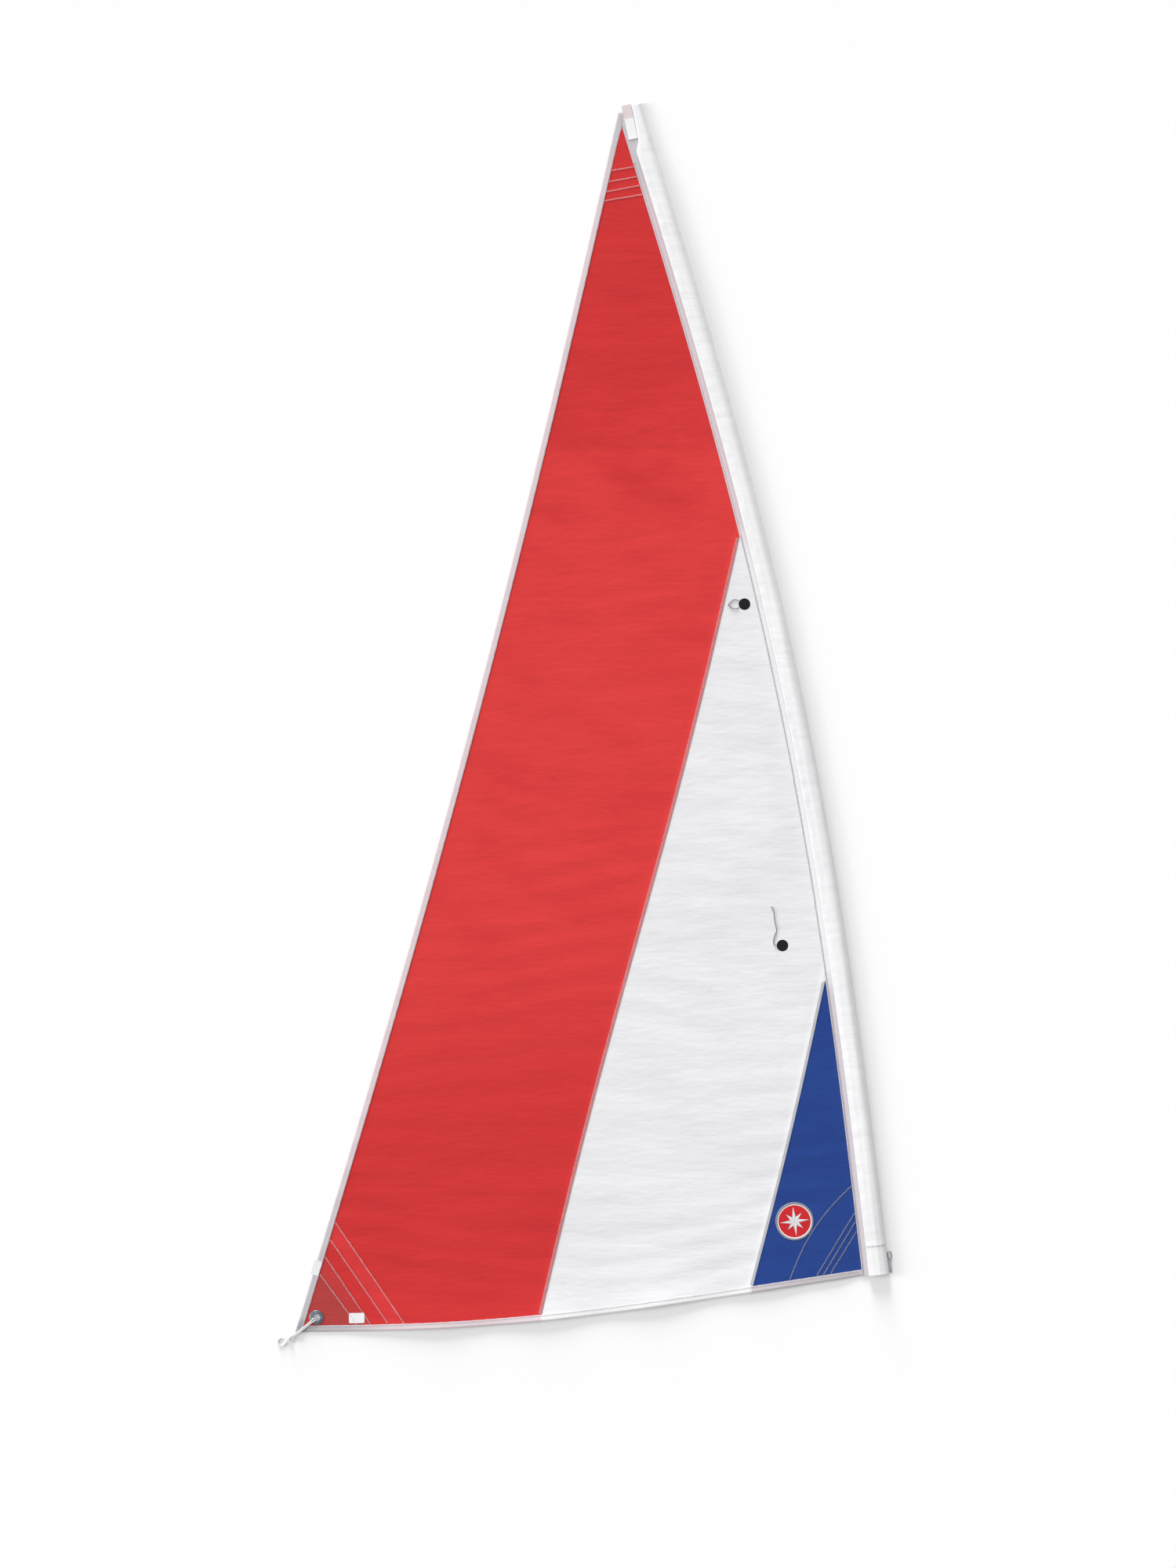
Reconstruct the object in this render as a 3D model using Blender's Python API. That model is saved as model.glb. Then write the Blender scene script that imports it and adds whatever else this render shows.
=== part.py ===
"""Mainsail of a beginner's dinghy with a sleeve luff, laid flat on its starboard side.

Metres, +Z up. +Y runs up the luff from the tack to the head and the clew lies towards -X. A place
in plan is a complex number, x + y*1j, and a quarter turn to the left is a product with 1j.
"""
import math

import bmesh
import bpy

# Space left between two pieces that touch
GAP = 0.0003

# Outline, chords measured straight from corner to corner
LUFF_LENGTH = 4.469
LUFF_BOW = 0.130
LEECH_LENGTH = 4.713
LEECH_HOLLOW = 0.050
FOOT_LENGTH = 2.153
FOOT_ROUND = 0.048
FOOT_SKEW = 0.0065
HEAD_WIDTH = 0.0933
HEAD_DROP = 0.0166
FOOT_RISE = 0.0103

# Cloths and tapes
PANEL_CLOTH = 0.0004
PATCH_CLOTH = 0.0004
SLEEVE_CLOTH = 0.0005
TAPE_CLOTH = 0.0004
TAPE_WIDTH = 0.024
FOLD_CLEARANCE = 0.001
DISC_CLOTH = 0.0004

# Sleeve round the mast
TUBE_FOOT_WIDTH = 0.077
TUBE_UPPER_WIDTH = 0.072
TUBE_TAPER_HEIGHT = 2.2
DOME_HEIGHT = 0.026
FLANGE_WIDTH = 0.0235
FLANGE_SEAM = 0.002
TUBE_HEAD_WIDTH = 0.038
TUBE_NARROWING_START = 0.2145
TUBE_NARROWING_RUN = 0.156
SLEEVE_HEAD_WIDTH = 0.0715
SLEEVE_NARROWING_START = 0.335
SLEEVE_NARROWING_POWER = 2.6
PORT_LENGTHS = 6
PORT_STATIONS = 5
DOME_STEPS = 12
CUFF_HEIGHT = 0.113
CUFF_CLOTH = 0.0006
CLOSURE_DEPTH = 0.014
CLOSURE_SETBACK = 0.002

# Seams between the panels, from their place on the luff to their place on the foot
RED_SEAM_HEIGHT = 2.814
RED_SEAM_REACH = 0.915
RED_SEAM_BOWS = (0.004, 0.011)
BLUE_SEAM_HEIGHT = 1.116
BLUE_SEAM_REACH = 1.710
BLUE_SEAM_BOWS = (0.009,)
LAP_WIDTH = 0.012
LAP_CLEARANCE = 0.002
LAP_RAMP = 0.006
SEAM_SEARCH = 0.15

# Numbers of straight steps along the curved edges
SEAM_STEPS = 14
LUFF_STEPS = 16
LEECH_STEPS = 18
FOOT_STEPS = 8
PATCH_STEPS = 5
NARROWING_STEPS = 7
ARC_STEPS = 6

# Corner patches, largest first: how far each reaches along its two edges
CLEW_PATCHES = ((0.460, 0.426), (0.393, 0.3665), (0.327, 0.3005), (0.257, 0.2507))
HEAD_PATCHES = ((0.345, 0.332), (0.311, 0.296), (0.272, 0.262), (0.229, 0.224))
TACK_PATCHES = ((0.362, 0.311), (0.274, 0.2165), (0.242, 0.191), (0.205, 0.1646))
TACK_PATCH_ROUND = 0.035
PATCH_MARGIN = 0.008
FLAP_RAMP = 0.030
PANEL_TOP_SETBACK = 0.030
PANEL_LEECH_SETBACK = 0.012

# Head strap and the cap above it
STRAP_WIDTH = 0.034
STRAP_CLOTH = 0.0008
STRAP_LENGTH = 0.080
CAP_LENGTH = 0.044
CAP_OVERHANG = 0.0085
STRAP_CLEARANCE = 0.001

# Eyelet at the clew
EYE_FROM_LEECH = 0.0611
EYE_FROM_FOOT = 0.0538
EYE_RADIUS = 0.0135
LINER_WALL = 0.0010
LINER_FLANGE = 0.0005
LINER_FLANGE_WIDTH = 0.0060
LINER_LIP_WIDTH = 0.0040
LINER_LIP_HEIGHT = 0.0012
RING_RADIUS = 0.027
RING_HEIGHT = 0.0026
ROUND_STEPS = 40

# Cord at the clew
CORD_DIAMETER = 0.0044
CORD_SPACING = 0.0052
CORD_POINT_SPACING = 0.0032
CORD_SIDES = 2
LASHING_EXIT = complex(0.0012, -0.0095)
LOOP_HEADING = 195.5
KNOT_START = 0.0195
KNOT_LENGTH = 0.013
KNOT_HALF_WIDTH = 0.0096
KNOT_HALF_HEIGHT = 0.0064
KNOT_STEPS = 6
KNOT_SIDES = 16
FREE_CORDS = ("clew_loop", "clew_loop_knot", "clew_loop_tail", "telltale_upper_yarn",
              "telltale_lower_yarn")

# Webbing and ring at the tack
WEBBING_CLOTH = 0.0010
WEBBING_WIDTH = 0.012
WEBBING_LENGTH = 0.060
WEBBING_START = 0.002
WEBBING_RETURN = 0.046
WEBBING_DESCENT = 0.012
NOTCH_DEPTH = 0.006
RING_WIRE = 0.0028
TACK_RING_WIDTH = 0.0174
TACK_RING_LENGTH = 0.023
TACK_RING_CORNER = 0.0022

# Tell-tales
DISC_RADIUS = 0.0215
UPPER_DISC = (2.5614, 0.1373)
LOWER_DISC = (1.2675, 0.2378)
YARN_DIAMETER = 0.0028
YARN_POINT_SPACING = 0.0050
YARN_SIDES = 2

# Badge and labels
BADGE_RADIUS = 0.0715
BADGE_PLACE = (0.234, 0.328)
TRIM_CLOTH = 0.0004
LEECH_LABEL_SIZE = (0.056, 0.030)
LEECH_LABEL_PLACE = (0.253, 0.007)
MEASUREMENT_LABEL_SIZE = (0.058, 0.038)
MEASUREMENT_LABEL_PLACE = (0.2303, 0.0495)

# Heights of the layers above the surface that the sail lies on
PANEL_BASE = max(SLEEVE_CLOTH, TAPE_CLOTH, LINER_FLANGE, DISC_CLOTH) + GAP
PANEL_TOP = PANEL_BASE + PANEL_CLOTH
LAP_TOP = PANEL_TOP + GAP + PANEL_CLOTH
PATCH_PITCH = PATCH_CLOTH + GAP
PATCH_COUNT = len(CLEW_PATCHES)
PATCHES_TOP = PANEL_TOP + PATCH_COUNT * PATCH_PITCH
FOLD_INSET = TAPE_CLOTH + FOLD_CLEARANCE


class Edge:
    """An edge or a seam in plan: a chord from start to end, bent sideways by half waves."""

    def __init__(self, start, end, bows):
        self.start = start
        self.span = abs(end - start)
        self.along = (end - start) / self.span
        self.bows = bows

    def heading(self, run):
        """Direction of the edge at a distance along its chord."""
        slope = 0.0
        for count, bow in enumerate(self.bows, start=1):
            slope += bow * math.pi * count * math.cos(math.pi * count * run / self.span)
        direction = self.along * (1 + 1j * slope / self.span)
        return direction / abs(direction)

    def point(self, run, inset=0.0):
        """Place at a distance along the chord, inset to the left of the edge."""
        rise = 0.0
        for count, bow in enumerate(self.bows, start=1):
            rise += bow * math.sin(math.pi * count * run / self.span)
        return self.start + self.along * (run + 1j * rise) + self.heading(run) * 1j * inset

    def locate(self, place):
        """Distance along the chord and inset of a place in plan."""
        run = ((place - self.start) * self.along.conjugate()).real
        for _ in range(6):
            run += ((place - self.point(run)) * self.heading(run).conjugate()).real
        offset = (place - self.point(run)) * (self.heading(run) * 1j).conjugate()
        return run, offset.real

    def stretch(self, first, last, count, inset=0.0):
        """Places at even steps from one distance to another, both ends included."""
        return [self.point(first + (last - first) * step / count, inset) for step in range(count + 1)]


def corner_from(first, first_radius, second, second_radius):
    """Corner at two given distances from two places, to the left of the way between them."""
    way = second - first
    span = abs(way)
    along = (first_radius ** 2 - second_radius ** 2 + span ** 2) / (2 * span)
    across = math.sqrt(first_radius ** 2 - along ** 2)
    return first + way / span * (along + 1j * across)


def crossing(gauge, low, high):
    """Value between low and high at which a gauge changes its sign."""
    low_is_positive = gauge(low) > 0
    for _ in range(45):
        middle = (low + high) / 2
        if (gauge(middle) > 0) == low_is_positive:
            low = middle
        else:
            high = middle
    return (low + high) / 2


def ease(share):
    """Smooth step from 0 to 1."""
    share = min(1.0, max(0.0, share))
    return share * share * (3 - 2 * share)


def plain_tube_width(height):
    """Width of the tube before it narrows at the head."""
    share = min(1.0, height / TUBE_TAPER_HEIGHT)
    return TUBE_FOOT_WIDTH + (TUBE_UPPER_WIDTH - TUBE_FOOT_WIDTH) * share


def tube_width(height):
    """Width of the sleeve's tube at a height along the luff."""
    share = ease((height - LUFF_LENGTH + TUBE_NARROWING_START) / TUBE_NARROWING_RUN)
    return plain_tube_width(height) - (TUBE_UPPER_WIDTH - TUBE_HEAD_WIDTH) * share


def sleeve_width(height):
    """Width of the sleeve with its flange at a height along the luff."""
    share = max(0.0, 1 + (height - LUFF_LENGTH) / SLEEVE_NARROWING_START)
    loss = TUBE_UPPER_WIDTH + FLANGE_WIDTH - SLEEVE_HEAD_WIDTH
    return plain_tube_width(height) + FLANGE_WIDTH - loss * share ** SLEEVE_NARROWING_POWER


TACK_END = complex(-TUBE_FOOT_WIDTH, FOOT_RISE)
HEAD_END = complex(-HEAD_WIDTH, LUFF_LENGTH - HEAD_DROP)
CLEW = corner_from(TACK_END, FOOT_LENGTH, HEAD_END, LEECH_LENGTH)

LUFF = Edge(0j, LUFF_LENGTH * 1j, (-LUFF_BOW,))
LEECH = Edge(HEAD_END, CLEW, (LEECH_HOLLOW,))
FOOT = Edge(CLEW, TACK_END, (-FOOT_ROUND, -FOOT_SKEW))
RED_SEAM = Edge(LUFF.point(RED_SEAM_HEIGHT, sleeve_width(RED_SEAM_HEIGHT)),
                FOOT.point(RED_SEAM_REACH), RED_SEAM_BOWS)
BLUE_SEAM = Edge(LUFF.point(BLUE_SEAM_HEIGHT, sleeve_width(BLUE_SEAM_HEIGHT)),
                 FOOT.point(BLUE_SEAM_REACH), BLUE_SEAM_BOWS)


def luff_margin(place):
    """How far a place lies inside the edge that the cloth has under the flange."""
    height, inset = LUFF.locate(place)
    return inset - tube_width(height) - FLANGE_SEAM


def foot_margin(place):
    """How far a place lies inside the edge that the cloth has in the foot tape."""
    return FOOT.locate(place)[1] - FOLD_INSET


def leech_margin(place):
    """How far a place lies inside the edge that the cloth has in the leech tape."""
    return LEECH.locate(place)[1] - FOLD_INSET


def luff_side(first, last, count):
    """Places on the cloth's edge under the flange, between two heights."""
    heights = [first + (last - first) * step / count for step in range(count + 1)]
    return [LUFF.point(height, tube_width(height) + FLANGE_SEAM) for height in heights]


def clew_corner():
    """Corner of the cloth inside the two tapes at the clew."""
    run = crossing(lambda run: leech_margin(FOOT.point(run, FOLD_INSET)), 0.0, TAPE_WIDTH)
    return FOOT.point(run, FOLD_INSET), run


def tack_corner():
    """Corner of the cloth inside the foot tape and under the flange."""
    run = crossing(lambda run: luff_margin(FOOT.point(run, FOLD_INSET)),
                   FOOT_LENGTH - TUBE_FOOT_WIDTH, FOOT_LENGTH + TUBE_FOOT_WIDTH)
    return FOOT.point(run, FOLD_INSET), run


def flap_base(patches):
    """Underside of an upper flap that lies over so many patches."""
    return max(LAP_TOP, PANEL_TOP + patches * PATCH_PITCH) + GAP


def flap_height(run, near_reaches, far_reaches, span):
    """Underside of an upper flap, raised over the patches at both ends of its edge."""
    height = flap_base(0)
    for index in range(PATCH_COUNT):
        step = flap_base(index + 1) - flap_base(index)
        for reach, distance in ((near_reaches[index], run), (far_reaches[index], span - run)):
            beyond = reach + PATCH_MARGIN + FLAP_RAMP - distance
            height += step * min(1.0, max(0.0, beyond / FLAP_RAMP))
    return height


def flap_stations(near_reaches, far_reaches, span, count):
    """Distances along an edge at which its sections stand: even steps and every end of a ramp."""
    runs = {span * step / count for step in range(count + 1)}
    for reach in near_reaches:
        runs.update((reach + PATCH_MARGIN, reach + PATCH_MARGIN + FLAP_RAMP))
    for reach in far_reaches:
        runs.update((span - reach - PATCH_MARGIN, span - reach - PATCH_MARGIN - FLAP_RAMP))
    return sorted(run for run in runs if 0 <= run <= span)


LUFF_NEAR = [reaches[0] for reaches in TACK_PATCHES]
LUFF_FAR = [reaches[1] for reaches in HEAD_PATCHES]
LEECH_NEAR = [reaches[0] for reaches in HEAD_PATCHES]
LEECH_FAR = [reaches[0] for reaches in CLEW_PATCHES]
FOOT_NEAR = [reaches[1] for reaches in CLEW_PATCHES]
FOOT_FAR = [reaches[1] for reaches in TACK_PATCHES]


def flange_base(height):
    """Underside of the sleeve's upper flange at a height along the luff."""
    return flap_height(height, LUFF_NEAR, LUFF_FAR, LUFF_LENGTH)


def make_finish(name, color, roughness, metallic=0.0):
    """Material with a plain colour."""
    finish = bpy.data.materials.new(name)
    finish.use_nodes = True
    shader = finish.node_tree.nodes["Principled BSDF"]
    shader.inputs["Base Color"].default_value = (*color, 1.0)
    shader.inputs["Roughness"].default_value = roughness
    shader.inputs["Metallic"].default_value = metallic
    return finish


def make_finishes():
    """All the finishes of the sail."""
    return {
        "red_cloth": make_finish("red_cloth", (0.67, 0.042, 0.045), 0.6),
        "white_cloth": make_finish("white_cloth", (0.80, 0.80, 0.82), 0.6),
        "blue_cloth": make_finish("blue_cloth", (0.027, 0.065, 0.25), 0.6),
        "grey_tape": make_finish("grey_tape", (0.55, 0.51, 0.55), 0.75),
        "white_webbing": make_finish("white_webbing", (0.82, 0.82, 0.82), 0.8),
        "black_disc": make_finish("black_disc", (0.012, 0.012, 0.014), 0.7),
        "grey_yarn": make_finish("grey_yarn", (0.22, 0.22, 0.25), 0.9),
        "white_cord": make_finish("white_cord", (0.80, 0.80, 0.78), 0.7),
        "eyelet_metal": make_finish("eyelet_metal", (0.35, 0.38, 0.43), 0.35, 1.0),
        "white_label": make_finish("white_label", (0.85, 0.85, 0.86), 0.5),
    }


def add_object(name, data, finish, parent):
    """Link an object with its finish under its parent."""
    item = bpy.data.objects.new(name, data)
    data.materials.append(finish)
    item.parent = parent
    bpy.context.collection.objects.link(item)
    return item


def make_solid(name, vertices, faces, finish, parent, smooth=False):
    """Closed solid from its vertices and faces."""
    mesh = bpy.data.meshes.new(name)
    mesh.from_pydata(vertices, [], faces)
    shell = bmesh.new()
    shell.from_mesh(mesh)
    bmesh.ops.recalc_face_normals(shell, faces=shell.faces)
    shell.to_mesh(mesh)
    shell.free()
    if smooth:
        mesh.shade_smooth()
        mesh.set_sharp_from_angle(angle=math.radians(40))
    return add_object(name, mesh, finish, parent)


def make_loft(name, rings, finish, parent, smooth=False, closed=False):
    """Solid skinned over a row of like rings, with flat ends or closed on itself."""
    size = len(rings[0])
    vertices = [point for ring in rings for point in ring]
    spans = len(rings) if closed else len(rings) - 1
    faces = []
    for ring in range(spans):
        here = ring * size
        there = (ring + 1) % len(rings) * size
        for side in range(size):
            after = (side + 1) % size
            faces.append((here + side, here + after, there + after, there + side))
    if not closed:
        faces.append(tuple(range(size)))
        faces.append(tuple(range(len(vertices) - size, len(vertices))))
    return make_solid(name, vertices, faces, finish, parent, smooth)


def make_pipe(name, outer_rings, inner_rings, finish, parent, smooth=False):
    """Solid between an outer and an inner row of like rings, open at both ends."""
    size = len(outer_rings[0])
    count = len(outer_rings)
    vertices = [point for ring in outer_rings + inner_rings for point in ring]
    faces = []
    for ring in range(count - 1):
        for side in range(size):
            after = (side + 1) % size
            for layer in (0, count):
                here = (layer + ring) * size
                there = here + size
                faces.append((here + side, here + after, there + after, there + side))
    for ring in (0, count - 1):
        for side in range(size):
            after = (side + 1) % size
            outer = ring * size
            inner = (count + ring) * size
            faces.append((outer + side, outer + after, inner + after, inner + side))
    return make_solid(name, vertices, faces, finish, parent, smooth)


def make_sheet(name, points, faces, cloth, finish, parent):
    """Solid of cloth hanging its thickness below a sheet of faces."""
    below = len(points)
    vertices = points + [(x, y, z - cloth) for x, y, z in points]
    sides = {}
    for face in faces:
        for first, second in zip(face, face[1:] + face[:1]):
            if (second, first) in sides:
                del sides[(second, first)]
            else:
                sides[(first, second)] = True
    walls = [(second, first, below + first, below + second) for first, second in sides]
    under = [tuple(below + corner for corner in reversed(face)) for face in faces]
    return make_solid(name, vertices, list(faces) + under + walls, finish, parent)


def make_plate(name, outline, base, cloth, finish, parent):
    """Flat piece of cloth with its underside at a height."""
    points = [(place.real, place.imag, base + cloth) for place in outline]
    return make_sheet(name, points, [tuple(range(len(points)))], cloth, finish, parent)


def make_turned(name, profile, place, base, finish, parent):
    """Ring turned from a closed profile of radii and heights."""
    rings = []
    for step in range(ROUND_STEPS):
        turn = complex(math.cos(2 * math.pi * step / ROUND_STEPS), math.sin(2 * math.pi * step / ROUND_STEPS))
        ring = []
        for radius, height in profile:
            at = place + radius * turn
            ring.append((at.real, at.imag, base + height))
        rings.append(ring)
    return make_loft(name, rings, finish, parent, smooth=True, closed=True)


def circle_places(centre, radius):
    """Places round a circle in plan."""
    turns = [2 * math.pi * step / ROUND_STEPS for step in range(ROUND_STEPS)]
    return [centre + radius * complex(math.cos(turn), math.sin(turn)) for turn in turns]


def smooth_route(route, spacing):
    """Points at an even spacing along a smooth curve through the points of a route."""
    first = tuple(2 * a - b for a, b in zip(route[0], route[1]))
    last = tuple(2 * a - b for a, b in zip(route[-1], route[-2]))
    held = [first, *route, last]
    fine = []
    for index in range(1, len(held) - 2):
        before, start, end, after = held[index - 1:index + 3]
        for step in range(16):
            share = step / 16
            fine.append(tuple(
                0.5 * (2 * b + (c - a) * share + (2 * a - 5 * b + 4 * c - d) * share ** 2
                       + (3 * b - a - 3 * c + d) * share ** 3)
                for a, b, c, d in zip(before, start, end, after)))
    fine.append(route[-1])
    lengths = [0.0]
    for one, two in zip(fine, fine[1:]):
        lengths.append(lengths[-1] + math.dist(one, two))
    count = max(2, round(lengths[-1] / spacing))
    points = []
    index = 0
    for step in range(count + 1):
        wanted = lengths[-1] * step / count
        while index < len(fine) - 2 and lengths[index + 1] < wanted:
            index += 1
        share = (wanted - lengths[index]) / (lengths[index + 1] - lengths[index])
        points.append(tuple(a + (b - a) * share for a, b in zip(fine[index], fine[index + 1])))
    return points


def make_cord(name, points, diameter, sides_level, finish, parent, closed=False):
    """Round cord along its points, with filled ends or closed on itself."""
    curve = bpy.data.curves.new(name, "CURVE")
    curve.dimensions = "3D"
    curve.bevel_depth = diameter / 2
    curve.bevel_resolution = sides_level
    curve.use_fill_caps = True
    spline = curve.splines.new("POLY")
    spline.points.add(len(points) - 1)
    for held, (x, y, z) in zip(spline.points, points):
        held.co = (x, y, z, 1.0)
    spline.use_cyclic_u = closed
    return add_object(name, curve, finish, parent)


def make_folded_strap(name, path, cloth, width, origin, heading, finish, parent):
    """Strap whose folds follow a path of distances and heights, as wide as it is to the left."""
    sides = ([], [])
    for index, (run, height) in enumerate(path):
        before = path[max(0, index - 1)]
        after = path[min(len(path) - 1, index + 1)]
        way = complex(after[0] - before[0], after[1] - before[1])
        across = way / abs(way) * 1j * cloth / 2
        for side, sign in zip(sides, (1, -1)):
            side.append((run + sign * across.real, height + sign * across.imag))
    profile = sides[0] + sides[1][::-1]
    rings = []
    for offset in (0.0, width):
        ring = []
        for run, height in profile:
            at = origin + heading * (run + 1j * offset)
            ring.append((at.real, at.imag, height))
        rings.append(ring)
    return make_loft(name, rings, finish, parent)


def seam_row(seam, inset):
    """Places along a seam, or beside it, from under the flange to inside the foot tape."""
    top = crossing(lambda run: luff_margin(seam.point(run, inset)), -SEAM_SEARCH, SEAM_SEARCH)
    bottom = crossing(lambda run: foot_margin(seam.point(run, inset)),
                      seam.span - SEAM_SEARCH, seam.span + SEAM_SEARCH)
    return seam.stretch(top, bottom, SEAM_STEPS, inset)


def make_panel(name, outline, lap_seam, finish, parent):
    """Panel of cloth. Where it laps its neighbour, its outline starts with the lap's ramp."""
    points = [(place.real, place.imag, PANEL_TOP) for place in outline]
    faces = [tuple(range(len(points)))]
    if lap_seam:
        row = list(range(SEAM_STEPS + 1))
        for inset in (-LAP_WIDTH - LAP_CLEARANCE, 0.0):
            start = len(points)
            places = seam_row(lap_seam, inset)[::-1]
            points += [(place.real, place.imag, LAP_TOP) for place in places]
            beyond = list(range(start, len(points)))
            for step in range(SEAM_STEPS):
                faces.append((row[step + 1], row[step], beyond[step], beyond[step + 1]))
            row = beyond
    return make_sheet(name, points, faces, PANEL_CLOTH, finish, parent)


def add_panels(finishes, parent):
    """The three panels, each one lapped over the panel nearer to the tack."""
    ramp_foot = -LAP_WIDTH - LAP_CLEARANCE - LAP_RAMP
    red_ramp = seam_row(RED_SEAM, ramp_foot)[::-1]
    blue_ramp = seam_row(BLUE_SEAM, ramp_foot)[::-1]
    white_edge = seam_row(RED_SEAM, -LAP_WIDTH)
    blue_edge = seam_row(BLUE_SEAM, -LAP_WIDTH)
    head_height = LUFF_LENGTH - PANEL_TOP_SETBACK
    clew_place, clew_run = clew_corner()
    tack_place, tack_run = tack_corner()

    red_outline = red_ramp + luff_side(LUFF.locate(red_ramp[-1])[0], head_height, LUFF_STEPS)[1:]
    red_outline += LEECH.stretch(PANEL_LEECH_SETBACK, LEECH.locate(clew_place)[0], LEECH_STEPS, FOLD_INSET)
    red_outline += FOOT.stretch(clew_run, FOOT.locate(red_ramp[0])[0], FOOT_STEPS, FOLD_INSET)[1:-1]
    red_panel = make_panel("red_panel", red_outline, RED_SEAM, finishes["red_cloth"], parent)

    white_outline = blue_ramp + luff_side(LUFF.locate(blue_ramp[-1])[0],
                                          LUFF.locate(white_edge[0])[0], LUFF_STEPS)[1:-1]
    white_outline += white_edge
    white_outline += FOOT.stretch(FOOT.locate(white_edge[-1])[0], FOOT.locate(blue_ramp[0])[0],
                                  FOOT_STEPS, FOLD_INSET)[1:-1]
    make_panel("white_panel", white_outline, BLUE_SEAM, finishes["white_cloth"], parent)

    blue_outline = blue_edge + FOOT.stretch(FOOT.locate(blue_edge[-1])[0], tack_run,
                                            FOOT_STEPS, FOLD_INSET)[1:]
    blue_outline += luff_side(LUFF.locate(tack_place)[0], LUFF.locate(blue_edge[0])[0], LUFF_STEPS)[1:-1]
    make_panel("blue_panel", blue_outline, None, finishes["blue_cloth"], parent)
    return red_panel


def patch_base(index):
    """Underside of a corner patch, counted from the largest."""
    return PANEL_TOP + GAP + index * PATCH_PITCH


def add_clew_patches(finishes, parent):
    """Patches at the clew, bounded by the foot, a straight line and the leech."""
    clew_place, clew_run = clew_corner()
    patches = []
    for index, (leech_reach, foot_reach) in enumerate(CLEW_PATCHES):
        outline = FOOT.stretch(clew_run, foot_reach, PATCH_STEPS, FOLD_INSET)
        outline += LEECH.stretch(LEECH.span - leech_reach, LEECH.locate(clew_place)[0],
                                 PATCH_STEPS, FOLD_INSET)[:-1]
        patches.append(make_plate(f"clew_patch_{index + 1}", outline, patch_base(index),
                                  PATCH_CLOTH, finishes["red_cloth"], parent))
    return patches


def add_head_patches(finishes, parent):
    """Patches at the head, bounded by the luff, the head, the leech and a straight line."""
    for index, (leech_reach, luff_reach) in enumerate(HEAD_PATCHES):
        outline = luff_side(LUFF_LENGTH - luff_reach, LUFF_LENGTH - PANEL_TOP_SETBACK, 2 * PATCH_STEPS)
        outline += LEECH.stretch(PANEL_LEECH_SETBACK, leech_reach, PATCH_STEPS, FOLD_INSET)
        make_plate(f"head_patch_{index + 1}", outline, patch_base(index), PATCH_CLOTH,
                   finishes["red_cloth"], parent)


def add_tack_patches(finishes, parent):
    """Patches at the tack, the largest with a round edge and the others with a straight one."""
    tack_place, tack_run = tack_corner()
    for index, (luff_reach, foot_reach) in enumerate(TACK_PATCHES):
        outline = FOOT.stretch(FOOT.span - foot_reach, tack_run, PATCH_STEPS, FOLD_INSET)
        outline += luff_side(LUFF.locate(tack_place)[0], luff_reach, PATCH_STEPS)[1:]
        if index == 0:
            rim = Edge(outline[-1], outline[0], (-TACK_PATCH_ROUND,))
            outline += rim.stretch(0.0, rim.span, 2 * PATCH_STEPS)[1:-1]
        make_plate(f"tack_patch_{index + 1}", outline, patch_base(index), PATCH_CLOTH,
                   finishes["blue_cloth"], parent)


def arch(height, inset, lift=0.0):
    """Half ellipse across the tube, as insets and heights, drawn in from the tube's outer face."""
    width = tube_width(height)
    rise = DOME_HEIGHT * width / plain_tube_width(height)
    points = []
    for step in range(DOME_STEPS + 1):
        turn = math.pi * step / DOME_STEPS
        across = inset + (width / 2 - inset) * (1 - math.cos(turn))
        floor = PANEL_BASE + (flange_base(height) - PANEL_BASE) * across / width
        points.append((across, floor + lift + (rise - inset - lift) * math.sin(turn)))
    return points


def sleeve_ring(height, section):
    """Section across the sleeve, set in place at a height along the luff."""
    ring = []
    for inset, level in section:
        place = LUFF.point(height, inset)
        ring.append((place.real, place.imag, level))
    return ring


def port_section(height):
    """Section of the sleeve's port side: its arch and its flange."""
    width = tube_width(height)
    base = flange_base(height)
    outer = arch(height, 0.0)[:-1]
    inner = arch(height, SLEEVE_CLOTH)[::-1]
    flange = [(width, base + SLEEVE_CLOTH), (sleeve_width(height), base + SLEEVE_CLOTH),
              (sleeve_width(height), base)]
    return outer + flange + inner


def starboard_section(height):
    """Section of the sleeve's starboard side, which lies flat."""
    width = sleeve_width(height)
    return [(0.0, 0.0), (width, 0.0), (width, SLEEVE_CLOTH), (0.0, SLEEVE_CLOTH)]


def lining_section(height, inset, lift=0.0):
    """Section that fills the sleeve's inside up to an inset from its outer face."""
    points = arch(height, inset, lift)
    return points + [(points[-1][0], PANEL_BASE + lift)]


def sleeve_stations():
    """Heights at which the sleeve's sections stand."""
    runs = set(flap_stations(LUFF_NEAR, LUFF_FAR, LUFF_LENGTH, PORT_LENGTHS * PORT_STATIONS))
    start = LUFF_LENGTH - TUBE_NARROWING_START
    runs.update(start + TUBE_NARROWING_RUN * step / NARROWING_STEPS for step in range(NARROWING_STEPS + 1))
    runs.update((CUFF_HEIGHT, LUFF_LENGTH - CLOSURE_SETBACK - CLOSURE_DEPTH,
                 LUFF_LENGTH - CLOSURE_SETBACK))
    return sorted(runs)


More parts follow.
